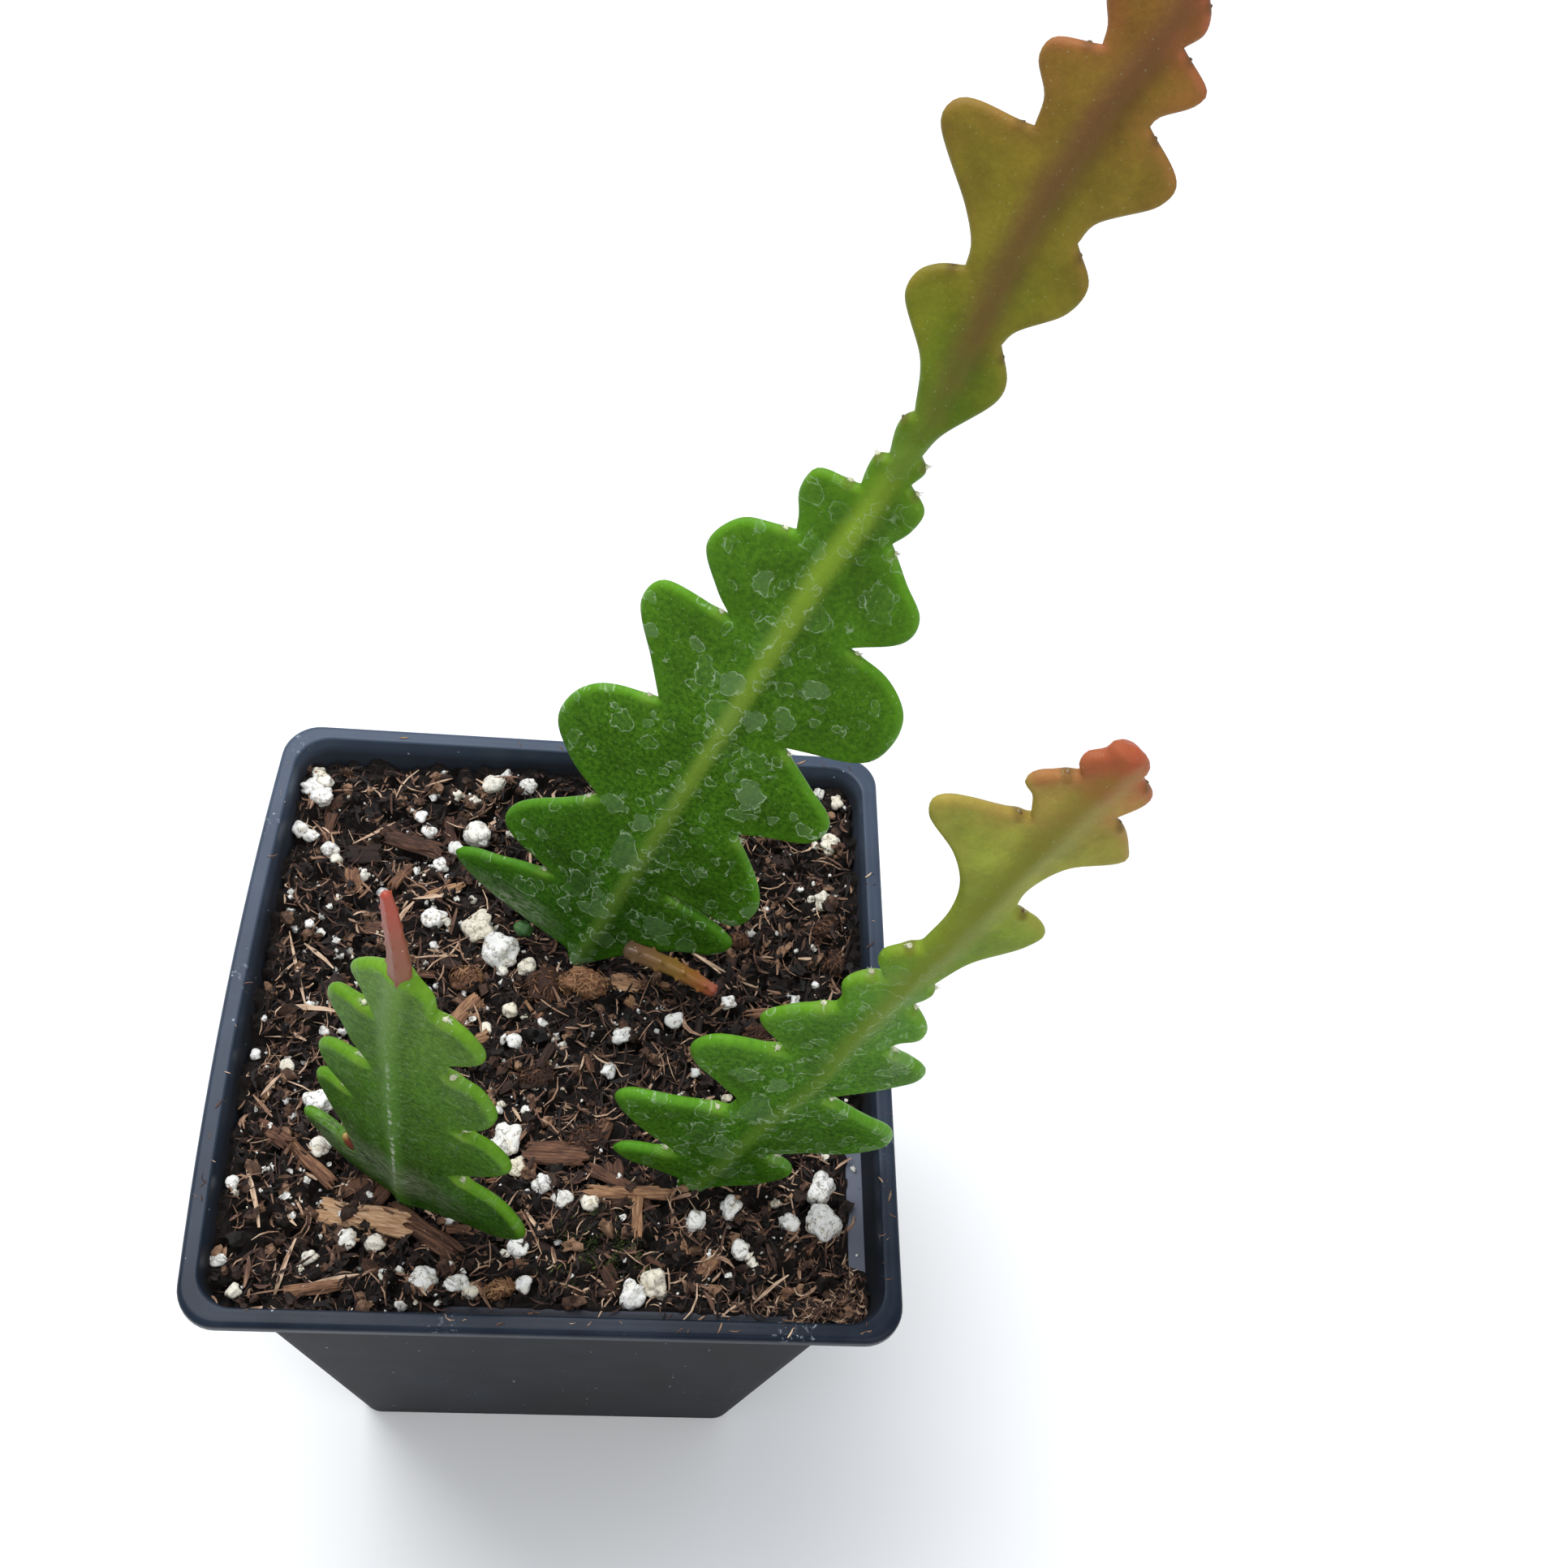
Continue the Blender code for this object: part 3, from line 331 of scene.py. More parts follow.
class StemSettings(bpy.types.PropertyGroup):
    rib_thickness: FloatProperty(name="Rib thickness", description="Through the midrib",
                                 default=3.4 * MM, **LENGTH)
    blade_thickness: FloatProperty(name="Blade thickness", description="Through the flat blade",
                                   default=1.9 * MM, **LENGTH)
    tint: FloatVectorProperty(name="Tint", description="Multiplies the colour of the skin",
                              default=(1.0, 1.0, 1.0), min=0.0, max=1.0, subtype="COLOR")
    marks: FloatProperty(name="Water marks", description="How strongly dried drops show",
                         default=1.0, **SHARE)


class StageSettings(bpy.types.PropertyGroup):
    floor: FloatVectorProperty(name="Floor", description="Colour of the floor",
                               default=srgb("#f1f1ef"), subtype="COLOR")
    sky: FloatProperty(name="Sky", description="Strength of the even light from all round",
                       default=0.75)
    key: FloatProperty(name="Key", description="Power of the large light overhead",
                       default=9.0, unit="POWER")


# Nodes and materials

# The setting that the second word of a node's kind gives
MODES = {"Math": "operation", "VectorMath": "operation", "MapRange": "interpolation_type",
         "Mix": "data_type", "TexNoise": "noise_dimensions", "TexVoronoi": "voronoi_dimensions"}


def node(tree, kind, *values, out=None, stops=None, **named):
    """Adds a node, sets or links its inputs, and gives the output named out, or the first in use.

    values go to the inputs in use, in their order. A name with a capital is an input's, and one
    without is a setting's. A text such as #3f6e1e is a colour.
    """
    kind, _, mode = kind.partition(" ")
    made = tree.nodes.new("ShaderNode" + kind)
    if mode:
        setattr(made, MODES[kind], mode)
    for name in [name for name in named if name[0].islower()]:
        setattr(made, name, named.pop(name))
    inputs = list(zip([socket for socket in made.inputs if socket.enabled], values))
    for socket, value in inputs + [(made.inputs[name], value) for name, value in named.items()]:
        if isinstance(value, bpy.types.NodeSocket):
            tree.links.new(value, socket)
        else:
            socket.default_value = colour(value) if isinstance(value, str) else value
    if stops:
        elements = made.color_ramp.elements
        while len(elements) < len(stops):
            elements.new(1.0)
        for element, (position, value) in zip(elements, stops):
            element.position = position
            element.color = colour(value)
    return made.outputs[out] if out else next(socket for socket in made.outputs if socket.enabled)


def new_material(name, roughness, ior, specular=0.5):
    """A material, the call that adds a node to it, and its object coordinates in millimetres."""
    mat = bpy.data.materials.new(name)
    mat.use_nodes = True
    sockets = mat.node_tree.nodes["Principled BSDF"].inputs
    sockets["Roughness"].default_value = roughness
    sockets["IOR"].default_value = ior
    sockets["Specular IOR Level"].default_value = specular
    add = partial(node, mat.node_tree)
    return mat, add, add("VectorMath SCALE", add("TexCoord", out="Object"), 1000.0)


def finished(mat, base, normal=None, roughness=None):
    """Links what a material's nodes give to its shader."""
    sockets = mat.node_tree.nodes["Principled BSDF"].inputs
    for name, value in (("Base Color", base), ("Normal", normal), ("Roughness", roughness)):
        if value is not None:
            mat.node_tree.links.new(value, sockets[name])
    return mat


def specks(add, place, scale, rarity, size, kind="TexVoronoi"):
    """1 in round specks of uneven size, fewer with more rarity, and 0 between them."""
    cells = add(kind, place, scale)
    lot = add("SeparateColor", cells.node.outputs["Color"])
    return add("Math LESS_THAN", cells, add("MapRange", lot, rarity, 1.0, 0.0, size))


def plastic_material(settings):
    """Polypropylene, thin and injection moulded: satin, with a faint grain, dust and dried lime,
    a painted reflection towards the back and the left, and painted shade below the lip.
    """
    mat, add, place = new_material("moulded_polypropylene", 0.34, 1.49, 0.15)
    along_x, along_y, along_z = add("SeparateXYZ", place).node.outputs
    # Painted reflection: the plastic is lighter towards the back and the left, a little unevenly,
    # where its top faces catch the bright sky
    back = add("MapRange", along_y, -46.0, 44.0, 0.0, 0.85)
    left = add("MapRange", along_x, 20.0, -44.0, 0.0, 0.12)
    uneven = add("MapRange", add("TexNoise", place, 0.14, 4.0), 0.3, 0.7, -0.08, 0.12)
    painted_sky_sheen = add("Math ADD", add("Math ADD", back, left), uneven, use_clamp=True)
    # Painted shade: everything below the lip, inside and out, is darkened to a deep brown, in faint
    # broad patches
    bands = add("TexNoise", add("Mapping", place, Scale=(1.0, 1.0, 0.4)), 0.11, 3.0)
    low = add("MapRange", along_z, POT_HEIGHT - 1.2, POT_HEIGHT - 3.0, 0.0, 1.0)
    painted_shade_below_lip = add("Math MULTIPLY", low, add("MapRange", bands, 0.3, 0.7, 0.5, 0.8))
    # Pale dust that has settled on the ledge, thinner at the front
    off_ledge = add("Math ABSOLUTE", add("Math SUBTRACT", along_z, LEDGE))
    reach = add("SeparateXYZ", add("VectorMath ABSOLUTE", place)).node.outputs
    within = add("Math LESS_THAN", add("Math MAXIMUM", reach[0], reach[1]), COLLAR_HALF + 0.4)
    held = add("Math MULTIPLY", add("MapRange", off_ledge, 0.05, 0.25, 0.7, 0.0), within)
    dust = add("Math MULTIPLY", held, add("MapRange", along_y, -40.0, -37.5, 0.15, 1.0))
    # White lime: specks about 0.3 mm across everywhere, and smears where the rim has been wet
    lime = specks(add, place, 0.8, 0.86, 0.16)
    fine = add("TexNoise", place, 1.3, 6.0, 0.75)
    for x, y, radius, strength in LIME:
        gap = add("VectorMath DISTANCE", place, (x, y, POT_HEIGHT))
        over = add("Math SUBTRACT", fine, add("MapRange", gap, 0.3 * radius, radius, 0.56, 0.76))
        lime = add("Math MAXIMUM", add("MapRange", over, 0.0, 0.08, 0.0, strength), lime)
    amount = add("Math MULTIPLY", lime, settings.lime * 0.7)
    base = (*settings.plastic, 1.0)
    for share, tone in ((painted_sky_sheen, "#434e5e"), (painted_shade_below_lip, "#191512"), (dust, "#767a88"),
                        (amount, "#a9b2bc")):
        base = add("Mix RGBA", share, base, tone)
    rough = add("Math ADD", add("MapRange", low, 0.0, 1.0, 0.32, 0.72), amount)
    # The mould's fine grain, 0.25 mm across, coarser than the real one so that it shows
    grain = add("TexNoise", place, 4.0, 2.0)
    return finished(mat, base, add("Bump", Height=grain, Strength=0.25, Distance=0.00005), rough)


def peat_gap_shade_material(settings):
    """Damp milled peat, matt: near black as painted shade in the gaps, with flecks of its own
    brown.
    """
    mat, add, place = new_material("damp_peat_gap_shade", 0.9, 1.4)
    grain = add("TexNoise", place, 1.3, 6.0, 0.8)
    ramp = add("ValToRGB", grain, stops=[(0.44, settings.peat), (0.58, "#1c110b"),
                                         (0.68, "#4a3122"), (0.76, "#8a674c")])
    return finished(mat, ramp, add("Bump", Height=grain, Strength=0.9, Distance=0.0005))


def perlite_material():
    """Expanded volcanic glass: white and chalky, with fine dark pits and brown peat stains."""
    mat, add, place = new_material("expanded_perlite", 0.75, 1.45)
    pits = add("TexVoronoi", place, 1.9)
    lot = add("SeparateColor", pits.node.outputs["Color"])
    edge = add("Math SUBTRACT", add("MapRange", lot, 0.45, 1.0, 0.0, 0.24), pits)
    pit = add("MapRange", edge, -0.02, 0.07, 0.0, 0.85)
    shade = add("TexNoise", place, 0.9, 3.0)
    dirt = add("TexNoise", place, 1.4, 4.0, 0.65)
    tint = add("Attribute", out="Fac", attribute_name="tint")
    warped = add("VectorMath MULTIPLY_ADD", dirt.node.outputs["Color"], (1.6, 1.6, 1.6), place)
    seams = add("TexVoronoi", warped, 0.75, feature="DISTANCE_TO_EDGE")
    crack = add("Math MULTIPLY", add("MapRange", seams, 0.015, 0.07, 0.8, 0.0),
                add("MapRange", shade, 0.44, 0.54, 0.0, 1.0))
    base = add("ValToRGB", shade, stops=[(0.3, "#dedcd5"), (0.5, "#e9e8e3"), (0.75, "#d3cbb8")])
    for share, tone in ((add("MapRange", tint, 0.6, 1.0, 0.0, 0.6), "#d9cba4"),
                        (add("MapRange", dirt, 0.60, 0.70, 0.0, 0.75), "#8d7258"),
                        (crack, "#5a5248"), (pit, "#4a4038")):
        base = add("Mix RGBA", share, base, tone)
    height = add("Math SUBTRACT", shade, pit)
    return finished(mat, base, add("Bump", Height=height, Strength=0.7, Distance=0.0003))


def fibre_material(name, stops, stripe=2.2):
    """Dead plant fibre: matt, streaked along its length, from peat brown to straw by its tint."""
    mat, add, _ = new_material(name, 0.8, 1.45)
    tint = add("Attribute", out="Fac", attribute_name="tint")
    grain = add("Attribute", out="Vector", attribute_name="grain")
    thin = add("Mapping", grain, Scale=(0.35, stripe, stripe))
    streak = add("TexNoise", thin, 1.0, 4.0, 0.65)
    level = add("Math ADD", tint, add("MapRange", streak, 0.3, 0.7, -0.22, 0.22))
    ramp = add("ValToRGB", level, stops=stops)
    return finished(mat, ramp, add("Bump", Height=streak, Strength=0.8, Distance=0.0003))


def plain_skin_material(name, stops, roughness, speckle):
    """Round young growth: smooth glossy skin whose colour runs along its length, with pale dots."""
    mat, add, place = new_material(name, roughness, 1.45)
    station = add("Attribute", out="Fac", attribute_name="station")
    drift = add("TexNoise", place, 0.6, 3.0)
    level = add("Math ADD", station, add("MapRange", drift, 0.0, 1.0, -0.08, 0.08))
    dots = add("Math MULTIPLY", specks(add, place, 1.3, 0.5, 0.15), speckle)
    base = add("Mix RGBA", dots, add("ValToRGB", level, stops=stops), "#e8cfa8")
    return finished(mat, base, add("Bump", Height=drift, Strength=0.3, Distance=0.0002))


# Sizes of dried drops, the largest first: how far apart in millimetres, what share is missing, how
# strong the outline and the inside are, and what shifts the pattern
DROPS = [(7.6, 0.48, 0.66, 0.50, 3.0), (4.6, 0.54, 0.60, 0.40, 31.7), (2.5, 0.60, 0.46, 0.26, 77.3)]


def skin_material(name, length, zones, settings, marks=1.0, scurf=0.0, haze=0.0,
                  rim=(3.2, 0.26, 0.45), brushed=None):
    """Waxy cactus skin: satin, mottled where it is old, brighter along its rib, with painted
    highlight on its upper edges.

    zones is a list of (station, flesh, rib, rim, age), where age 1 is old green growth and 0 new,
    and rim is the colour of the edges' own tint and of their painted highlight. haze is how
    strongly a pale painted reflection of the sky shows on the right of a young rib. The rim
    argument is how deep and how strong the edge's lighter tint and painted highlight are, and how
    strong the painted highlight on the lobes' upper edges. brushed is where lime has been wiped
    over the skin in streaks, as (reach, station, radius).
    """
    mat, add, place = new_material(name, 0.45, 1.45, 0.13)
    station, edge, rib, upper, areole = [
        add("Attribute", out="Fac", attribute_name=field)
        for field in ("station", "edge_mm", "rib_mm", "upper", "areole_mm")]
    plane = add("Attribute", out="Vector", attribute_name="plane")
    wander = add("TexNoise 2D", plane, 0.25, 2.0)
    push = add("MapRange", wander, 0.0, 1.0, -4.0 / length, 4.0 / length)
    along = add("Math ADD", station, push)
    flesh, rib_colour, rim_tint_and_highlight, age = [
        add("ValToRGB", along, stops=[(zone[0] / length, zone[part]) for zone in zones])
        for part in (1, 2, 3, 4)]
    flesh = add("VectorMath MULTIPLY", flesh, tuple(settings.tint))

    # Mottling: cells of darker green about 0.5 mm across, and slow changes 6 mm across
    fine = add("TexNoise 2D", plane, 1.5, 4.0, 0.75)
    slow = add("TexNoise 2D", plane, 0.16, 4.0, 0.6)
    dark = add("Math MULTIPLY", add("MapRange", fine, 0.36, 0.64, 0.0, 0.85),
               add("MapRange", age, 0.0, 1.0, 0.18, 1.0))
    deep = add("Mix RGBA", 1.0, flesh, "#7fa276", blend_type="MULTIPLY")
    mottled = add("Mix RGBA", dark, flesh, deep)
    base = add("VectorMath SCALE", mottled, add("MapRange", slow, 0.3, 0.7, 0.78, 1.20))

    # Rib: a soft uneven band 2 mm wide on old growth and 4 mm on new. Painted shade darkens a line
    # on its right flank. A stem given a flank sheen has no painted shade there, and a painted
    # reflection of the sky lightens its young rib's right flank instead
    wavering = add("Math ADD", rib, add("MapRange", fine, 0.0, 1.0, -0.35, 0.35))
    from_rib = add("Math ABSOLUTE", wavering)
    breadth = add("MapRange", age, 0.0, 1.0, 3.3, 1.8)
    rib_band = add("MapRange SMOOTHSTEP", from_rib, 0.2, breadth, 0.85, 0.0)
    ribbed = add("Mix RGBA", rib_band, base, rib_colour)
    young = add("Math SUBTRACT", 1.0, age)
    beside = add("Math MULTIPLY", add("MapRange SMOOTHSTEP", rib, 0.6, 1.8, 0.0, 1.0),
                 add("MapRange SMOOTHSTEP", rib, 2.0, 4.0, 1.0, 0.0))
    painted_flank_sheen = add("Math MULTIPLY", beside, add("Math MULTIPLY", young, haze))
    painted_flank_shade = add("MapRange", beside, 0.0, 1.0, 1.0, 1.0 if haze else 0.86)
    base = add("VectorMath SCALE", ribbed, painted_flank_shade)

    # Rim: a faint lighter edge all round, partly the skin's own tint, reddish on young growth, and
    # partly painted highlight, and a clearer painted highlight on each lobe's upper edge, which
    # faces the light from above. Round an areole old skin is yellower, and young skin has a dark
    # brown bump.
    depth, tint_and_highlight_strength, upper_highlight_strength = rim
    edge_tint_and_highlight = add("MapRange SMOOTHSTEP", edge, 0.0, depth, tint_and_highlight_strength, 0.0)
    # Painted highlight on the lobes' upper edges, which face the light from above
    line = add("MapRange SMOOTHSTEP", edge, 0.3, 1.2, upper_highlight_strength, 0.0)
    near = add("MapRange SMOOTHSTEP", areole, 0.4, 2.0, 0.3, 0.0)
    close = add("MapRange SMOOTHSTEP", areole, 0.2, 1.1, 0.6, 0.0)
    for share, tone in ((painted_flank_sheen, "#a6a66c"), (edge_tint_and_highlight, rim_tint_and_highlight),
                        (add("Math MULTIPLY", line, upper), rim_tint_and_highlight),
                        (add("Math MULTIPLY", near, age), "#7fa03a"),
                        (add("Math MULTIPLY", close, young), "#553f1c")):
        base = add("Mix RGBA", share, base, tone)

    # Dried drops: rounded uneven patches 1 to 5 mm across, some greyer inside, with a thin pale
    # outline that breaks off here and there. They are thickest along the midrib, and each size,
    # from the largest, keeps off the sizes before it.
    ragged = add("TexNoise 2D", plane, 1.1, 3.0)
    broken = add("MapRange", add("TexNoise 2D", plane, 0.7, 2.0), 0.38, 0.62, 0.15, 1.2)
    rarer = add("MapRange", add("Math ABSOLUTE", rib), 1.0, 13.0, -0.12, 0.12)
    fogs, free = [], 1.0
    for cell, keep, bright, body, seed in DROPS:
        bend = add("TexNoise 2D", plane, 1.5 / cell, 2.0, out="Color")
        shaken = add("VectorMath MULTIPLY_ADD", bend, (0.6 * cell,) * 3, plane)
        offset = add("VectorMath ADD", shaken, (seed, seed, seed))
        cells = add("TexVoronoi 2D", offset, 1 / cell)
        walls = add("TexVoronoi 2D", offset, 1 / cell, feature="DISTANCE_TO_EDGE")
        chance, size, greyness = add("SeparateColor", cells.node.outputs["Color"]).node.outputs
        kept = add("Math GREATER_THAN", chance, add("Math ADD", rarer, keep))
        inward = add("Math SUBTRACT", add("MapRange", size, 0.0, 1.0, 0.15, 0.38), cells)
        both = add("Math MINIMUM", inward, add("Math SUBTRACT", walls, 0.05))
        gap = add("Math ADD", both, add("MapRange", ragged, 0.3, 0.7, -0.22 / cell, 0.22 / cell))
        ring = add("MapRange", add("Math ABSOLUTE", gap), 0.02 / cell, 0.14 / cell, bright, 0.0)
        fill = add("Math MULTIPLY", add("MapRange", gap, 0.0, 0.2 / cell, 0.0, 1.0),
                   add("MapRange", greyness, 0.5, 1.0, body * 0.15, body))
        apart = add("Math MULTIPLY", add("Math MULTIPLY", kept, age), free)
        amount = add("Math MULTIPLY", apart, marks * settings.marks)
        taken = add("MapRange", gap, -0.25 / cell, -0.15 / cell, 0.0, 1.0)
        left = add("Math SUBTRACT", 1.0, add("Math MULTIPLY", taken, kept))
        free = add("Math MULTIPLY", left, free)
        fogs.append(add("Math MULTIPLY", fill, amount))
        outline = add("Math MULTIPLY", add("Math MULTIPLY", ring, broken), amount)
        base = add("Mix RGBA", fogs[-1], base, "#7f9c70")
        base = add("Mix RGBA", outline, base, "#bcd0ae")

    if brushed:
        reach, spot, radius = brushed
        off = add("VectorMath SUBTRACT", plane, (reach, spot, 0.0))
        far = add("VectorMath LENGTH", add("VectorMath MULTIPLY", off, (0.6, 1.5, 1.0)))
        thin = add("Mapping", plane, Scale=(0.5, 2.6, 1.0), Rotation=(0.0, 0.0, -0.35))
        strokes = add("TexNoise 2D", thin, 1.0, 4.0, 0.7)
        wiped = add("Math MULTIPLY", add("MapRange", far, 0.3 * radius, radius, 0.6, 0.0),
                    add("MapRange", strokes, 0.44, 0.62, 0.1, 1.0))
        base = add("Mix RGBA", wiped, base, "#a3ad92")

    # Pale dots about 0.15 mm across, everywhere, and scurf along the rib
    faint = add("Math MULTIPLY", specks(add, plane, 1.1, 0.62, 0.12, "TexVoronoi 2D"),
                add("MapRange", age, 0.0, 1.0, 0.14, 0.34))
    base = add("Mix RGBA", faint, base, "#b9cfa0")
    if scurf:
        span = add("Math MULTIPLY", add("MapRange", station, 0.06, 0.2, 0.0, 1.0),
                   add("MapRange", station, 0.5, 0.8, 1.0, 0.1))
        flaky = add("TexNoise 2D", plane, 1.1, 5.0, 0.7)
        both = add("Math MULTIPLY", add("MapRange", from_rib, 0.08, 0.38, 1.0, 0.0),
                   add("MapRange", flaky, 0.46, 0.60, 0.0, scurf))
        base = add("Mix RGBA", add("Math MULTIPLY", both, span), base, "#c6cdb8")
    rough = add("MapRange", fogs[0], 0.0, 0.5, 0.42, 0.52)
    pores = add("Bump", Height=fine, Strength=0.5, Distance=0.00022)
    soft = add("TexNoise", place, 0.3, 1.0)
    waves = add("Bump", Height=soft, Strength=0.5, Distance=0.0006, Normal=pores)
    return finished(mat, base, waves, rough)


def wool_material():
    """Areole wool: tiny white matted hairs, fully matt."""
    mat, add, place = new_material("areole_wool", 0.9, 1.5)
    shade = add("TexNoise", place, 2.0, 2.0)
    return finished(mat, add("ValToRGB", shade, stops=[(0.3, "#c9c8b4"), (0.7, "#f0efe4")]))


def floor_material(settings):
    """Matt painted board: an even pale ground with the faintest of cloudiness."""
    mat, add, place = new_material("matt_board", 0.9, 1.45)
    lift = add("MapRange", add("TexNoise", place, 0.004, 2.0), 0.0, 1.0, 0.98, 1.02)
    return finished(mat, add("VectorMath SCALE", tuple(settings.floor), lift))


# Shapes shared by several pieces

def clear_selection():
    bpy.ops.object.select_all(action="DESELECT")


def active(name):
    """The piece that an operator has just added, under its own name."""
    obj = bpy.context.object
    obj.name = obj.data.name = name
    return obj


def edit_all():
    """Enters edit mode with all of the active piece selected."""
    bpy.ops.object.mode_set(mode="EDIT")
    bpy.ops.mesh.select_all(action="SELECT")


def leave_edit():
    bpy.ops.object.mode_set(mode="OBJECT")


def face_outwards(merge=None):
    """Turns the active piece's faces outwards, after joining any points closer than merge."""
    edit_all()
    if merge:
        bpy.ops.mesh.remove_doubles(threshold=merge)
    bpy.ops.mesh.normals_make_consistent(inside=False)
    leave_edit()


def cut_long_edges(obj, length, cuts):
    """Subdivides the active piece's edges that are longer than a length."""
    bpy.ops.object.mode_set(mode="EDIT")
    bpy.ops.mesh.select_mode(type="EDGE")
    bpy.ops.mesh.select_all(action="DESELECT")
    leave_edit()
    for edge in obj.data.edges:
        start, end = (obj.data.vertices[number].co for number in edge.vertices)
        edge.select = (end - start).length > length
    bpy.ops.object.mode_set(mode="EDIT")
    bpy.ops.mesh.subdivide(number_cuts=cuts)
    leave_edit()


def points_of(obj):
    flat = np.empty(len(obj.data.vertices) * 3)
    obj.data.vertices.foreach_get("co", flat)
    return flat.reshape(-1, 3)


def move_points(obj, points):
    obj.data.vertices.foreach_set("co", np.asarray(points, np.float32).ravel())
    obj.data.update()


def write_values(obj, name, values):
    """Stores a number or a vector at each point of the mesh, for the material to read."""
    values = np.asarray(values, np.float32)
    kind, field = ("FLOAT_VECTOR", "vector") if values.ndim == 2 else ("FLOAT", "value")
    obj.data.attributes.new(name, kind, "POINT").data.foreach_set(field, values.ravel())


def apply_modifiers(obj):
    bpy.context.view_layer.objects.active = obj
    for modifier in list(obj.modifiers):
        bpy.ops.object.modifier_apply(modifier=modifier.name)


def remove(objects):
    for obj in objects:
        bpy.data.objects.remove(obj, do_unlink=True)


def deliver(obj, material, slot, *nodes, angle=60.0):
    """Gives a finished piece its material and its place in the frame."""
    clear_selection()
    obj.select_set(True)
    bpy.context.view_layer.objects.active = obj
    bpy.ops.object.transform_apply(location=True, rotation=True, scale=True)
    bpy.ops.object.shade_smooth_by_angle(angle=math.radians(angle))
    obj.data.materials.clear()
    obj.data.materials.append(material)
    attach(obj, "root")
    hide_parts(*nodes)


def settled(points):
    """Bends points, in metres, as the pot's left and back walls bend towards the rim."""
    out = np.array(points, float)
    lift = out[:, 2] / POT_HEIGHT
    left = np.clip(-out[:, 0] / (RIM_HALF * MM), 0, 1)
    back = np.clip(out[:, 1] / (RIM_HALF * MM), 0, 1)
    across = np.clip(np.abs(out[:, 1]) / (RIM_HALF * MM), 0, 1)
    out[:, 0] += (LEFT_PINCH - LEFT_BOW * (1 - across ** 2)) * lift * left ** 2
    out[:, 1] += BACK_LEAN * lift * back ** 2
    return out


def copies(name, masters, spots):
    """Joins a moved copy of a master for each (master number, matrix, tint) into one mesh.

    Every point keeps its copy's tint, and its place in the master, in millimetres, as grain.
    """
    shapes = [(points_of(master), [tuple(face.vertices) for face in master.data.polygons])
              for master in masters]
    points, faces, grain, tints = [], [], [], []
    start = 0
    for index, (number, place, tint) in enumerate(spots):
        local, polygons = shapes[number]
        matrix = np.array(place)
        points.append(local @ matrix[:3, :3].T + matrix[:3, 3])
        size = np.linalg.norm(matrix[:3, :3], axis=0) * 1000
        grain.append(local * size + np.array((index * 3.7, index * 1.3, 0.0)))
        tints += [tint] * len(local)
        faces += [tuple(start + corner for corner in face) for face in polygons]
        start += len(local)
    mesh = bpy.data.meshes.new(name)
    mesh.from_pydata(np.concatenate(points).tolist(), [], faces)
    obj = bpy.data.objects.new(name, mesh)
    bpy.context.scene.collection.objects.link(obj)
    write_values(obj, "tint", tints)
    write_values(obj, "grain", np.concatenate(grain))
    remove(masters)
    return obj


def strew(name, masters, spots, material, angle=50):
    """Lays copies of the masters on the soil, as one piece."""
    deliver(copies(name, masters, spots), material, "potting_soil", "soil", angle=angle)


def placed(x, y, z, turn=0.0, tilt=0.0, roll=0.0, size=(1, 1, 1)):
    """A matrix for a copy, from its place and size in millimetres and its angles in degrees."""
    spin = Euler((math.radians(roll), math.radians(tilt), math.radians(turn)), "XYZ")
    scale = Matrix.Diagonal((*[part * MM for part in size], 1.0))
    return Matrix.Translation(Vector((x, y, z)) * MM) @ spin.to_matrix().to_4x4() @ scale


# Pot

def edge_arc(half, height, radius, start, end, steps=5):
    """Ring sizes (half width, height) round a rounded edge, between two angles in degrees."""
    angles = [math.radians(start + (end - start) * k / steps) for k in range(steps + 1)]
    return [(half + radius * math.cos(a), height + radius * math.sin(a)) for a in angles]


def pot_rings(lip):
    """The pot's section, up its outside, over its lip and down its inside to its floor."""
    outer_body, outer_collar = BODY_HALF + WALL, COLLAR_HALF + WALL
    under_ledge, under_lip = LEDGE - WALL, POT_HEIGHT - lip
    inner_base = BASE_HALF - WALL
    return [
        *edge_arc(BASE_HALF - 0.6, 0.6, 0.6, -90, 0, 4),
        (outer_body - 0.03, under_ledge - 0.35),
        (outer_body + 0.05, under_ledge - 0.1),
        (outer_body + 0.3, under_ledge),
        *edge_arc(outer_collar - 0.4, under_ledge + 0.4, 0.4, -90, 5, 4),
        (INNER_RIM_HALF + 0.86, under_lip - 0.25),
        (INNER_RIM_HALF + 0.95, under_lip - 0.05),
        (INNER_RIM_HALF + 1.15, under_lip),
        *edge_arc(RIM_HALF - 0.45, under_lip + 0.45, 0.45, -90, 0),
        *edge_arc(RIM_HALF - 0.75, POT_HEIGHT - 0.75, 0.75, 0, 88, 6),
        (RIM_HALF - 1.2, POT_HEIGHT - 0.03),
        (INNER_RIM_HALF + 0.8, POT_HEIGHT - 0.02),
        *edge_arc(INNER_RIM_HALF + 0.35, POT_HEIGHT - 0.35, 0.35, 90, 172, 4),
        (COLLAR_HALF + 0.05, LEDGE + 0.3),
        (COLLAR_HALF - 0.05, LEDGE + 0.08),
        (COLLAR_HALF - 0.3, LEDGE),
        (BODY_HALF + 0.3, LEDGE),
        (BODY_HALF + 0.06, LEDGE - 0.08),
        (BODY_HALF - 0.03, LEDGE - 0.35),
        (inner_base + 0.05, WALL + 0.9),
        (inner_base - 0.2, WALL + 0.25),
        (inner_base - 0.7, WALL),
    ]


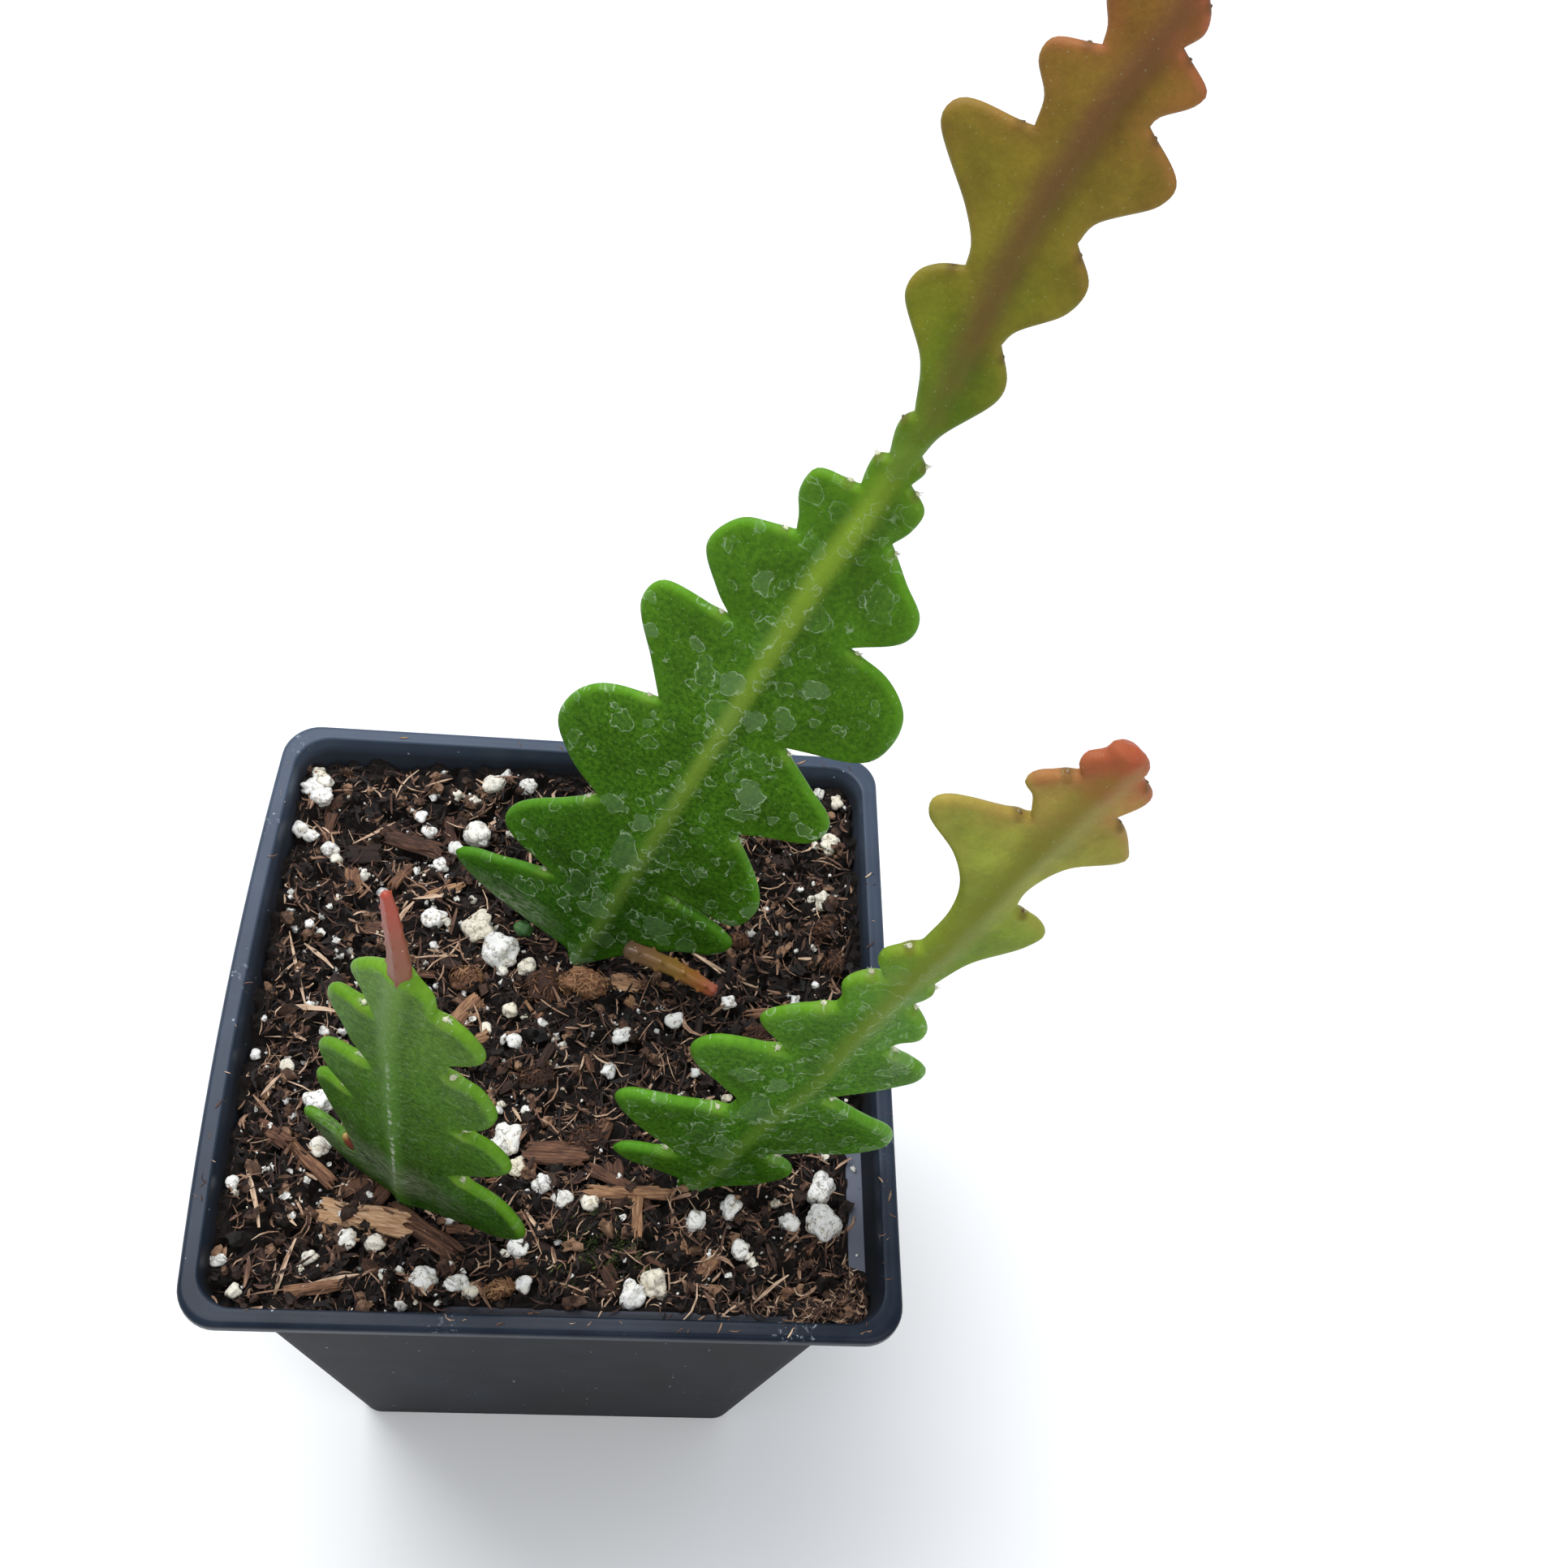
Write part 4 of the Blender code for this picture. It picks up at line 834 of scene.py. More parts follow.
def build_pot(settings):
    clear_selection()
    rings = pot_rings(settings.lip / MM)
    first = rings[0][0]
    bpy.ops.mesh.primitive_plane_add(size=2 * first * MM, location=(0, 0, 0))
    pot = active("pot_shell")
    edit_all()
    bpy.ops.mesh.bevel(offset=CORNER_RADIUS * first / RIM_HALF * MM, segments=9, affect="VERTICES")
    leave_edit()
    cut_long_edges(pot, 20 * MM, 13)
    edit_all()
    bpy.ops.mesh.select_mode(type="FACE")
    for (half, height), (next_half, next_height) in zip(rings, rings[1:]):
        bpy.ops.mesh.extrude_region_move(
            TRANSFORM_OT_translate={"value": (0, 0, (next_height - height) * MM)})
        grow = next_half / half
        bpy.ops.transform.resize(value=(grow, grow, 1), center_override=(0, 0, 0))
    face_outwards()
    move_points(pot, settled(points_of(pot)))
    cutters = []
    for side_x, side_y in ((1, 1), (-1, 1), (-1, -1), (1, -1)):
        clear_selection()
        bpy.ops.mesh.primitive_cylinder_add(
            vertices=40, radius=settings.drain, depth=10 * MM,
            location=(side_x * DRAIN_OFFSET * MM, side_y * DRAIN_OFFSET * MM, 0))
        cutters.append(active("drain"))
        cut = pot.modifiers.new("drain", "BOOLEAN")
        cut.operation = "DIFFERENCE"
        cut.object = cutters[-1]
    apply_modifiers(pot)
    remove(cutters)
    deliver(pot, plastic_material(settings), "pot_plastic", "pot", angle=40.0)


# Soil

def near_corner(x, y, reach):
    """1 at the near right corner, where loose fibre is heaped, and 0 from reach away."""
    return ease(1 - math.hypot(x - HEAPED_CORNER[0], y - HEAPED_CORNER[1]) / reach)


def bank(x, y):
    """How far the soil is heaped against the walls, from 0 to 1. The near right side is bare."""
    back = ease((y - 20) / 20)
    left = ease((-x - 28) / 13) * 0.9
    right = ease((x - 30) / 10) * ease((y + 16) / 8)
    front = ease((-y - 34) / 7) * ease((-x - 10) / 8) * 0.6
    return max(back, left, right, front, 1.15 * near_corner(x, y, 13))


def relief(x, y):
    """Height of the soil's broad surface, smooth round the stems' feet."""
    place = Vector((x / 8.0, y / 8.0, 3.7))
    rough = RELIEF * (0.9 * noise.noise(place) + 0.6 * noise.noise(place * 2.7))
    calm = min(math.hypot(x - spec["foot"][0], y - spec["foot"][1]) / 9.0 for spec in STEMS)
    return SOIL_LEVEL + SOIL_BANK * bank(x, y) + rough * min(1.0, calm)


def bareness(x, y):
    """1 where the ledge inside the rim is swept bare, at the near right, and 0 elsewhere."""
    wobble = 0.9 * noise.noise(Vector((x / 2.1, y / 2.1, 9.0)))
    right, front = [ease((out - BODY_HALF + 0.5 + wobble) / 0.8) * ease((low + wobble) / 2)
                    * ease((high + wobble) / 2)
                    for out, low, high in ((x, y + 34, -12 - y), (-y, x + 14, 32 - x))]
    return max(right, front)


def hollow(x, y):
    """1 in the pits between the clods, which light hardly reaches, and 0 on top of them."""
    return ease((noise.noise(Vector((x / 2.9, y / 2.9, 31.0))) - 0.10) / 0.22)


def ground(x, y):
    """Height of the soil with its crumbs, and just under the ledge where that is bare."""
    place = Vector((x, y, 0.0))
    crumbs = 0.9 * noise.noise(place / 2.3 + Vector((0, 0, 5.0))) \
        - 2.1 * abs(noise.noise(place / 1.4)) + 0.3 * noise.noise(place / 0.6)
    height = relief(x, y) + crumbs + 0.45 - 1.5 * hollow(x, y)
    if max(abs(x), abs(y)) > BODY_HALF - 0.5:
        height = max(height, LEDGE + 0.35)
    bare = bareness(x, y)
    return height * (1 - bare) + (LEDGE - 0.35) * bare


def rest_height(x, y):
    """Height at which a loose bit lies: on the soil, on the bare ledge, or on top of the lip."""
    reach = max(abs(x), abs(y))
    if reach > INNER_RIM_HALF:
        return POT_HEIGHT
    return max(ground(x, y), LEDGE + 0.05) if reach > BODY_HALF else ground(x, y)


def rounded(x, y, half, radius):
    """Moves a point of a square's corner into a corner of that radius."""
    start = half - radius
    over_x, over_y = abs(x) - start, abs(y) - start
    if over_x <= 0 or over_y <= 0:
        return x, y
    share = max(over_x, over_y) / math.hypot(over_x, over_y)
    return (math.copysign(start + over_x * share, x), math.copysign(start + over_y * share, y))


def build_soil(settings):
    clear_selection()
    cells = round(2 * COLLAR_HALF / SOIL_CELL)
    bpy.ops.mesh.primitive_grid_add(x_subdivisions=cells, y_subdivisions=cells,
                                    size=2 * COLLAR_HALF * MM)
    soil = active("soil_bed")
    points = points_of(soil) / MM
    for point in points:
        x, y = rounded(point[0], point[1], COLLAR_HALF, CORNER_RADIUS - 0.4)
        z = ground(x, y)
        wall = COLLAR_HALF + 0.06 + max(0.0, z - LEDGE) * COLLAR_SLOPE
        grow = 1 + (wall / COLLAR_HALF - 1) * ease((max(abs(x), abs(y)) - 36) / 5.5)
        point[:] = (x * grow, y * grow, z)
    move_points(soil, points * MM)
    edit_all()
    bpy.ops.mesh.region_to_loop()
    for half, height in ((COLLAR_HALF - 0.3, LEDGE - 0.5), (BODY_HALF - 0.2, LEDGE - 0.5),
                         (BASE_HALF - WALL - 1.0, WALL + 0.3)):
        bpy.ops.mesh.extrude_edges_move()
        leave_edit()
        chosen = [vert for vert in soil.data.vertices if vert.select]
        widest = max(abs(vert.co.x) for vert in chosen)
        for vert in chosen:
            vert.co.x *= half * MM / widest
            vert.co.y *= half * MM / widest
            vert.co.z = height * MM
        bpy.ops.object.mode_set(mode="EDIT")
    bpy.ops.mesh.edge_face_add()
    face_outwards()
    move_points(soil, settled(points_of(soil)))
    deliver(soil, peat_gap_shade_material(settings), "potting_soil", "soil")


# Loose bits in the soil

def lumpy(points, seed, knobs, dent, fine):
    """Pushes a ball's points in and out into a knobbly lump, for a grain or a crumb."""
    shifted = Vector((seed * 17.3, seed * 5.1, seed * 9.7))
    out = []
    for point in points:
        way = Vector(point).normalized()
        out.append(way * (1 + knobs * noise.noise(way * 1.1 + shifted)
                          - dent * abs(noise.noise(way * 2.3 + shifted))
                          + fine * noise.noise(way * 5.0 + shifted)))
    return out


def ball_masters(name, count, subdivisions, knobs, dent, fine=0.1):
    masters = []
    for number in range(count):
        clear_selection()
        bpy.ops.mesh.primitive_ico_sphere_add(subdivisions=subdivisions, radius=1.0)
        masters.append(active(f"{name}_{number}"))
        move_points(masters[-1], lumpy(points_of(masters[-1]), number + 1, knobs, dent, fine))
    return masters


def shred_masters(count, rng, cuts=3, sides=4, slim=0.06, stout=0.32, bend=1.0):
    """Bent slivers one unit long, tapered at the ends, between slim and stout in width."""
    masters = []
    for number in range(count):
        width = slim + (stout - slim) * (number + 0.5) / count
        thick = width * rng.uniform(0.35, 0.7)
        curl, lift, twist = rng.gauss(0, 0.14), rng.uniform(-0.14, 0.04), rng.uniform(-1.2, 1.2)
        clear_selection()
        bpy.ops.mesh.primitive_cylinder_add(vertices=sides, radius=0.5, depth=1.0,
                                            rotation=(0, math.pi / 2, 0))
        master = active(f"shred_{number}")
        bpy.ops.object.transform_apply(location=True, rotation=True, scale=True)
        cut_long_edges(master, 0.9, cuts)
        for vert in master.data.vertices:
            along = 2 * vert.co.x
            taper = 0.4 + 0.6 * math.sqrt(max(0.0, 1 - along ** 2))
            flat = Vector((vert.co.y * width * taper * rng.uniform(0.8, 1.2),
                           vert.co.z * thick * taper))
            flat.rotate(Matrix.Rotation(twist * along, 2))
            vert.co.y = flat.x + bend * curl * (1 - along ** 2)
            vert.co.z = flat.y + bend * lift * (1 - along ** 2)
        masters.append(master)
    return masters


def chip_masters(count, cuts):
    """Splintered slabs one unit long, wide and thick, with their grain along X."""
    masters = []
    for number in range(count):
        clear_selection()
        bpy.ops.mesh.primitive_cube_add(size=1.0)
        master = active(f"chip_{cuts}_{number}")
        edit_all()
        bpy.ops.mesh.subdivide(number_cuts=cuts)
        leave_edit()
        seed = Vector((number * 3.1, number * 7.7, 0))
        for vert in master.data.vertices:
            x, y, z = vert.co
            ridge, broad, torn, frayed = [
                noise.noise(Vector(spot) + seed)
                for spot in ((x * 0.8, y * 7, z * 5), (x * 2.2, y * 1.5, z * 1.5),
                             (0.0, y * 4, z * 3), (0.0, y * 13, z * 9))]
            slim = 1 - 0.30 * (2 * z) ** 2 - 0.25 * max(0.0, 2 * abs(x) - 0.6)
            vert.co = (x * (1.0 + 0.45 * (torn + 0.5 * frayed)),
                       y * (0.95 + 0.45 * broad) * slim + 0.05 * ridge,
                       z * (0.85 + 0.5 * broad) * (1 - 0.35 * (2 * y) ** 2)
                       + 0.12 * ridge * math.copysign(1, z))
        masters.append(master)
    return masters


def anywhere(rng, reach):
    """A random x and y, each within reach of the pot's middle."""
    return rng.uniform(-reach, reach), rng.uniform(-reach, reach)


def build_perlite(settings):
    rng = random.Random(settings.seed)
    masters = ball_masters("grain", GRAIN_KINDS, 4, 0.5, 0.22, 0.05) \
        + ball_masters("small_grain", GRAIN_KINDS, 3, 0.5, 0.22, 0.05)
    spots = []
    for x, y, radius in PERLITE:
        size = [radius * rng.uniform(*span) for span in ((1.0, 1.3), (0.85, 1.1), (0.75, 0.95))]
        half = COLLAR_HALF - 0.8 * radius
        x, y = rounded(max(-half, min(half, x)), max(-half, min(half, y)), half, CORNER_RADIUS)
        z = relief(x, y) + 0.35 * radius
        if max(abs(x), abs(y)) > 39:
            z = max(z, LEDGE + 0.5 * radius)
        number = rng.randrange(GRAIN_KINDS) + (0 if radius > 1.25 else GRAIN_KINDS)
        turns = rng.uniform(0, 360), rng.uniform(-25, 25), rng.uniform(-25, 25)
        spots.append((number, placed(x, y, z, *turns, size), rng.random()))
    perlite = perlite_material()
    strew("perlite_lumps", masters, spots, perlite, 75)

    masters = ball_masters("fine_grain", GRAIN_KINDS, 2, 0.9, 0.6, 0.3)
    spots = []
    while len(spots) < settings.fine_perlite:
        x, y = anywhere(rng, GRAIN_REACH)
        crowd = 0.2 + 1.3 * noise.noise(Vector((x / 7, y / 7, 2.0))) + 0.25 * (x < 0)
        if rng.random() > crowd + 0.12 or bareness(x, y) > 0.4 and rng.random() > 0.2:
            continue
        radius = 0.15 + 0.6 * rng.random() ** 3.4
        x, y = rounded(x, y, COLLAR_HALF, CORNER_RADIUS)
        size = [radius * rng.uniform(0.7, 1.4) for axis in range(3)]
        number, z = rng.randrange(GRAIN_KINDS), rest_height(x, y) + 0.5 * radius
        place = placed(x, y, z, rng.uniform(0, 360), 0, rng.uniform(0, 90), size)
        spots.append((number, place, rng.random()))
    strew("perlite_grains", masters, spots, perlite, 75)


def build_bark(settings):
    rng = random.Random(settings.seed + 3)
    chips, clumps = [], []
    for x, y, turn, length, width, thick, tint in BARK:
        z = relief(x, y) + 0.25 * thick
        place = placed(x, y, z, turn, rng.uniform(-7, 7), rng.uniform(-15, 15),
                       (length, width, thick))
        if length / width > 1.9:
            chips.append((rng.randrange(5), place, tint))
            continue
        half = placed(x, y, z, turn, 0, 0, (length / 2, width / 2, thick / 2 * 1.1))
        clumps.append((rng.randrange(5), half, tint - 0.15))
        for strand in range(CLUMP_STRANDS):
            up = Vector((rng.gauss(0, 1), rng.gauss(0, 1), abs(rng.gauss(0, 1)))).normalized()
            at = Matrix.Translation(half @ (up * rng.uniform(0.86, 1.0)))
            ahead = up.cross(Vector((rng.gauss(0, 1), rng.gauss(0, 1), rng.gauss(0, 0.4))))
            ahead.normalize()
            axes = Matrix((ahead, ahead.cross(up), -up)).transposed().to_4x4()
            size = Matrix.Diagonal((rng.uniform(1.0, 2.4) * MM, 2.6 * MM, 1.6 * MM, 1.0))
            clumps.append((5 + rng.randrange(4), at @ axes @ size, tint + rng.uniform(-0.2, 0.25)))
    while len(chips) < SMALL_CHIPS:
        x, y = anywhere(rng, CHIP_REACH)
        length, number = 1.3 + 3.2 * rng.random() ** 2, 5 + rng.randrange(6)
        turns = rng.uniform(0, 360), rng.gauss(0, 14), rng.uniform(-30, 30)
        size = (length, length * rng.uniform(0.3, 0.7), rng.uniform(0.5, 1.1))
        place = placed(x, y, ground(x, y) + 0.15, *turns, size)
        chips.append((number, place, 0.75 * rng.random() ** 1.5))
    stops = [(0.0, "#1c110c"), (0.3, "#3d261b"), (0.55, "#6d4a36"), (0.8, "#a47c59"),
             (1.0, "#c6a582")]
    strew("bark_chips", chip_masters(5, 7) + chip_masters(6, 3), chips,
          fibre_material("pine_bark", stops, 3.5), 45)
    stops = [(0.0, "#1c110b"), (0.35, "#42281b"), (0.65, "#80583c"), (1.0, "#b58c63")]
    strew("coir_clumps", ball_masters("clump", 5, 4, 0.45, 0.6, 0.16)
          + shred_masters(4, rng, 3, 3, 0.06, 0.13), clumps,
          fibre_material("matted_coir", stops, 3.2), 75)


def build_crumbs(settings):
    rng = random.Random(settings.seed + 2)
    masters = ball_masters("crumb", CRUMB_KINDS, 2, 0.9, 0.9, 0.4) \
        + ball_masters("small_crumb", CRUMB_KINDS, 1, 0.9, 0.8, 0.3)
    spots = []
    while len(spots) < settings.crumbs:
        x, y = anywhere(rng, CRUMB_REACH)
        if bareness(x, y) > 0.4 and rng.random() > 0.05 or rng.random() < 0.5 * hollow(x, y):
            continue
        radius = 0.22 + 0.95 * rng.random() ** 2.6
        size = [radius * rng.uniform(0.65, 1.35) for axis in range(3)]
        number = rng.randrange(CRUMB_KINDS) + (0 if radius > 0.5 else CRUMB_KINDS)
        z = rest_height(x, y) + 0.25 * radius
        place = placed(x, y, z, rng.uniform(0, 360), rng.uniform(-90, 90), 0, size)
        spots.append((number, place, rng.random() ** 1.3))
    stops = [(0.0, "#0c0705"), (0.35, "#21140e"), (0.7, "#4c3426"), (1.0, "#8f6e54")]
    strew("peat_crumbs", masters, spots, fibre_material("peat_crumb", stops, 1.2))


def build_shreds(settings):
    """Lays straws, scraps on the rim, long thin fibres and short shreds, in this order."""
    rng = random.Random(settings.seed + 1)
    masters = shred_masters(SHRED_KINDS, rng, cuts=2, sides=3) \
        + shred_masters(3, random.Random(settings.seed + 9), 2, 3, 0.08, 0.11, 0.3)
    spots = []
    for x, y, turn, length, thick in STRAWS:
        broad, heading = thick / 0.09, math.radians(turn)
        z = max(ground(x + part * length * math.cos(heading), y + part * length * math.sin(heading))
                for part in (-0.4, -0.2, 0.0, 0.2, 0.4)) + 0.55
        number = rng.choice((SHRED_KINDS, SHRED_KINDS + 2))
        place = placed(x, y, z, turn, rng.gauss(0, 2), 180, (length, broad, broad))
        spots.append((number, place, rng.uniform(0.9, 1.0)))
    for scrap in range(RIM_SCRAPS):
        side, along, out = rng.randrange(4), rng.uniform(-41, 41), rng.uniform(39.6, 44.2)
        x, y = ((out, along), (-out, along), (along, out), (along, -out))[side]
        length = rng.uniform(0.4, 1.6)
        number, size = rng.randrange(SHRED_KINDS), (length, length * 0.9, length * 0.9)
        place = placed(x, y, rest_height(x, y) + 0.08, rng.uniform(0, 360), size=size)
        spots.append((number, place, rng.uniform(0.3, 1.0)))
    for fibre in range(LONG_FIBRES):
        x, y = anywhere(rng, FIBRE_REACH)
        length, thick = 1.6 + 5.0 * rng.random() ** 2, rng.uniform(0.08, 0.18)
        if fibre % 6 == 0:
            x, y = 40.6 - abs(rng.gauss(0, 9)), -40.6 + abs(rng.gauss(0, 3.5))
            length = rng.uniform(1.0, 2.2)
        if bareness(x, y) > 0.5 or max(abs(x), abs(y)) + length / 2 > 42:
            continue
        number, z = rng.randrange(3), ground(x, y) + rng.uniform(0.3, 1.0)
        place = placed(x, y, z, rng.uniform(0, 360), rng.gauss(0, 8), 0,
                       (length, thick * 26, thick / 0.08))
        spots.append((number, place, 0.25 + 0.7 * rng.random() ** 1.3))
    while len(spots) < settings.shreds:
        x, y = anywhere(rng, SHRED_REACH)
        if bareness(x, y) > 0.5 and rng.random() > 0.03 or rng.random() < 0.7 * hollow(x, y):
            continue
        length = 0.8 + 3.4 * rng.random() ** 2.2
        broad = length * (rng.uniform(0.55, 1.2) * (1.35 - 0.16 * length))
        tint = min(1.0, 0.93 * rng.random() ** 1.7 + 0.15 * near_corner(x, y, 15))
        z = rest_height(x, y) + rng.uniform(0.0, 0.7)
        turn = rng.uniform(0, 360)
        # Shreds by the wall lie along it
        if max(abs(x), abs(y)) + 0.4 * length > SHRED_REACH:
            turn = 90 + rng.uniform(-20, 20) if abs(x) > abs(y) else rng.uniform(-20, 20)
        number = rng.randrange(SHRED_KINDS)
        tilt, roll = rng.gauss(0, 14), rng.uniform(-35, 35)
        spots.append((number, placed(x, y, z, turn, tilt, roll, (length, broad, broad)), tint))
    stops = [(0.0, "#0f0907"), (0.25, "#271812"), (0.5, "#5a3e30"), (0.75, "#927058"),
             (1.0, "#d2b598")]
    strew("coir_shreds", masters, spots, fibre_material("coir_fibre", stops))


def build_moss(settings):
    rng = random.Random(settings.seed + 5)
    middle_x, middle_y, reach = MOSS
    spots = []
    while len(spots) < MOSS_LEAVES:
        x, y = (middle_x + rng.gauss(0, reach / 2), middle_y + rng.gauss(0, reach / 2.4))
        if noise.noise(Vector((x / 2.2, y / 2.2, 1.0))) < -0.08:
            continue
        size, number = (rng.uniform(0.5, 1.1), 1.0, 1.0), rng.randrange(4)
        turn, tilt = rng.uniform(0, 360), rng.uniform(-80, -20)
        spots.append((number, placed(x, y, ground(x, y) + 0.3, turn, tilt, 0, size), rng.random()))
    stops = [(0.0, "#171c0a"), (0.6, "#2e3a14"), (1.0, "#566428")]
    strew("moss_patch", shred_masters(4, rng, 1, 3, 0.14, 0.3), spots,
          fibre_material("moss", stops, 1.0))


# Stems

class Blade:
    """Places a point of a stem's blade, given its station and its reach, in metres."""

    def __init__(self, spec):
        self.spec = spec
        self.foot = Vector(spec["foot"])
        self.rise = Vector(spec["rise"]).normalized()
        across = (Vector((1, 0, 0)) - self.rise.x * self.rise).normalized()
        turn = math.radians(spec["turn"])
        self.across = math.cos(turn) * across - math.sin(turn) * self.rise.cross(across)
        self.back = self.rise.cross(self.across)

    def point(self, station, reach, depth=0.0):
        arch = self.spec["arch"] * (max(station, 0.0) / self.spec["arch_at"]) ** 2
        depth += arch + WING_CURL * reach ** 2
        return (self.foot + station * self.rise + reach * self.across + depth * self.back) * MM

    def sway(self, station):
        keys = self.spec["sway"]
        for (low, start), (high, end) in zip(keys, keys[1:]):
            if low <= station <= high:
                return start + (end - start) * ease((station - low) / (high - low))
        return 0.0


def smooth_curve(points, steps=8):
    """A centripetal Catmull-Rom curve through points."""
    pts = [Vector(p) for p in points]
    pts = [2 * pts[0] - pts[1]] + pts + [2 * pts[-1] - pts[-2]]
    curve = []
    for p0, p1, p2, p3 in zip(pts, pts[1:], pts[2:], pts[3:]):
        t1 = math.sqrt((p1 - p0).length)
        t2 = t1 + math.sqrt((p2 - p1).length)
        t3 = t2 + math.sqrt((p3 - p2).length)
        for step in range(steps):
            t = t1 + (t2 - t1) * step / steps
            middle = p1.lerp(p2, (t - t1) / (t2 - t1))
            before = p0.lerp(p1, t / t1).lerp(middle, t / t2)
            after = middle.lerp(p2.lerp(p3, (t - t2) / (t3 - t2)), (t - t1) / (t3 - t1))
            curve.append(before.lerp(after, (t - t1) / (t2 - t1)))
    return curve + [pts[-2]]


def stretches(line):
    return [(end - start).length for start, end in zip(line, line[1:])]


def along(line, share):
    """The point at a share of a line's length."""
    lengths = stretches(line)
    wanted = min(max(share, 0.0), 1.0) * sum(lengths)
    for start, end, length in zip(line, line[1:], lengths):
        if wanted <= length:
            return start.lerp(end, wanted / length)
        wanted -= length
    return line[-1]


class Margin:
    """One lobed edge of a stem. A midrib station leads to a point on the edge beside it."""

    def __init__(self, lobes):
        lobes = [start + lobe for start, lobe in zip([[]] + [lobe[-1:] for lobe in lobes], lobes)]
        self.notches = [lobe[0][0] for lobe in lobes] + [lobes[-1][-1][0]]
        self.curves = [smooth_curve(lobe, 14) for lobe in lobes]

    def at(self, station):
        if station <= self.notches[0]:
            return station, FOOT_HALF
        for low, high, curve in zip(self.notches, self.notches[1:], self.curves):
            if station <= high + 1e-6:
                return along(curve, (station - low) / (high - low))
        return self.curves[-1][-1]

    def outline(self, side):
        """The whole edge as points (station, reach, upper), signed to its side, from the foot up.

        upper is 1 on the part of a lobe's edge above its tip, which faces up, and 0 below it.
        """
        points = [(-FOOT_DEPTH, side * FOOT_HALF, 0.0)]
        for curve in self.curves:
            tip = max(range(len(curve)), key=lambda index: curve[index].y)
            points += [(point.x, side * point.y, ease((index - tip + 4) / 8))
                       for index, point in enumerate(curve)]
        return points

    def areoles(self, side):
        """Where the areoles sit: on each lobe's upper edge, a step short of the notch above it."""
        spots = [along(curve, 1 - min(0.35, 1.3 / sum(stretches(curve))))
                 for curve in self.curves[:-1]]
        return [(spot.x, side * spot.y) for spot in spots]


def row_stations(left, right):
    """Stations of the rows across a blade: every notch of both margins, and steps between."""
    fixed = sorted(set([-FOOT_DEPTH] + left.notches + right.notches))
    merged = [fixed[0]]
    for station in fixed[1:]:
        if station - merged[-1] > 0.2:
            merged.append(station)
    merged[-1] = fixed[-1]
    rows = [merged[0]]
    for low, high in zip(merged, merged[1:]):
        count = max(1, round((high - low) / (2.0 if low < 0 else ROW_STEP)))
        rows += [low + (high - low) * (k + 1) / count for k in range(count)]
    return rows


def distance_to_line(points, line):
    """Each point's distance to a line of straight stretches, and the nearest stretch's number."""
    start, end = np.array(line[:-1]), np.array(line[1:])
    way = end - start
    square = np.maximum((way ** 2).sum(1), 1e-12)
    distance, nearest = np.empty(len(points)), np.empty(len(points), int)
    for first in range(0, len(points), AT_ONCE):
        batch = slice(first, first + AT_ONCE)
        some = points[batch, None, :]
        share = np.clip(((some - start) * way).sum(2) / square, 0, 1)
        gaps = ((some - start - share[..., None] * way) ** 2).sum(2)
        distance[batch] = np.sqrt(gaps.min(1))
        nearest[batch] = gaps.argmin(1)
    return distance, nearest


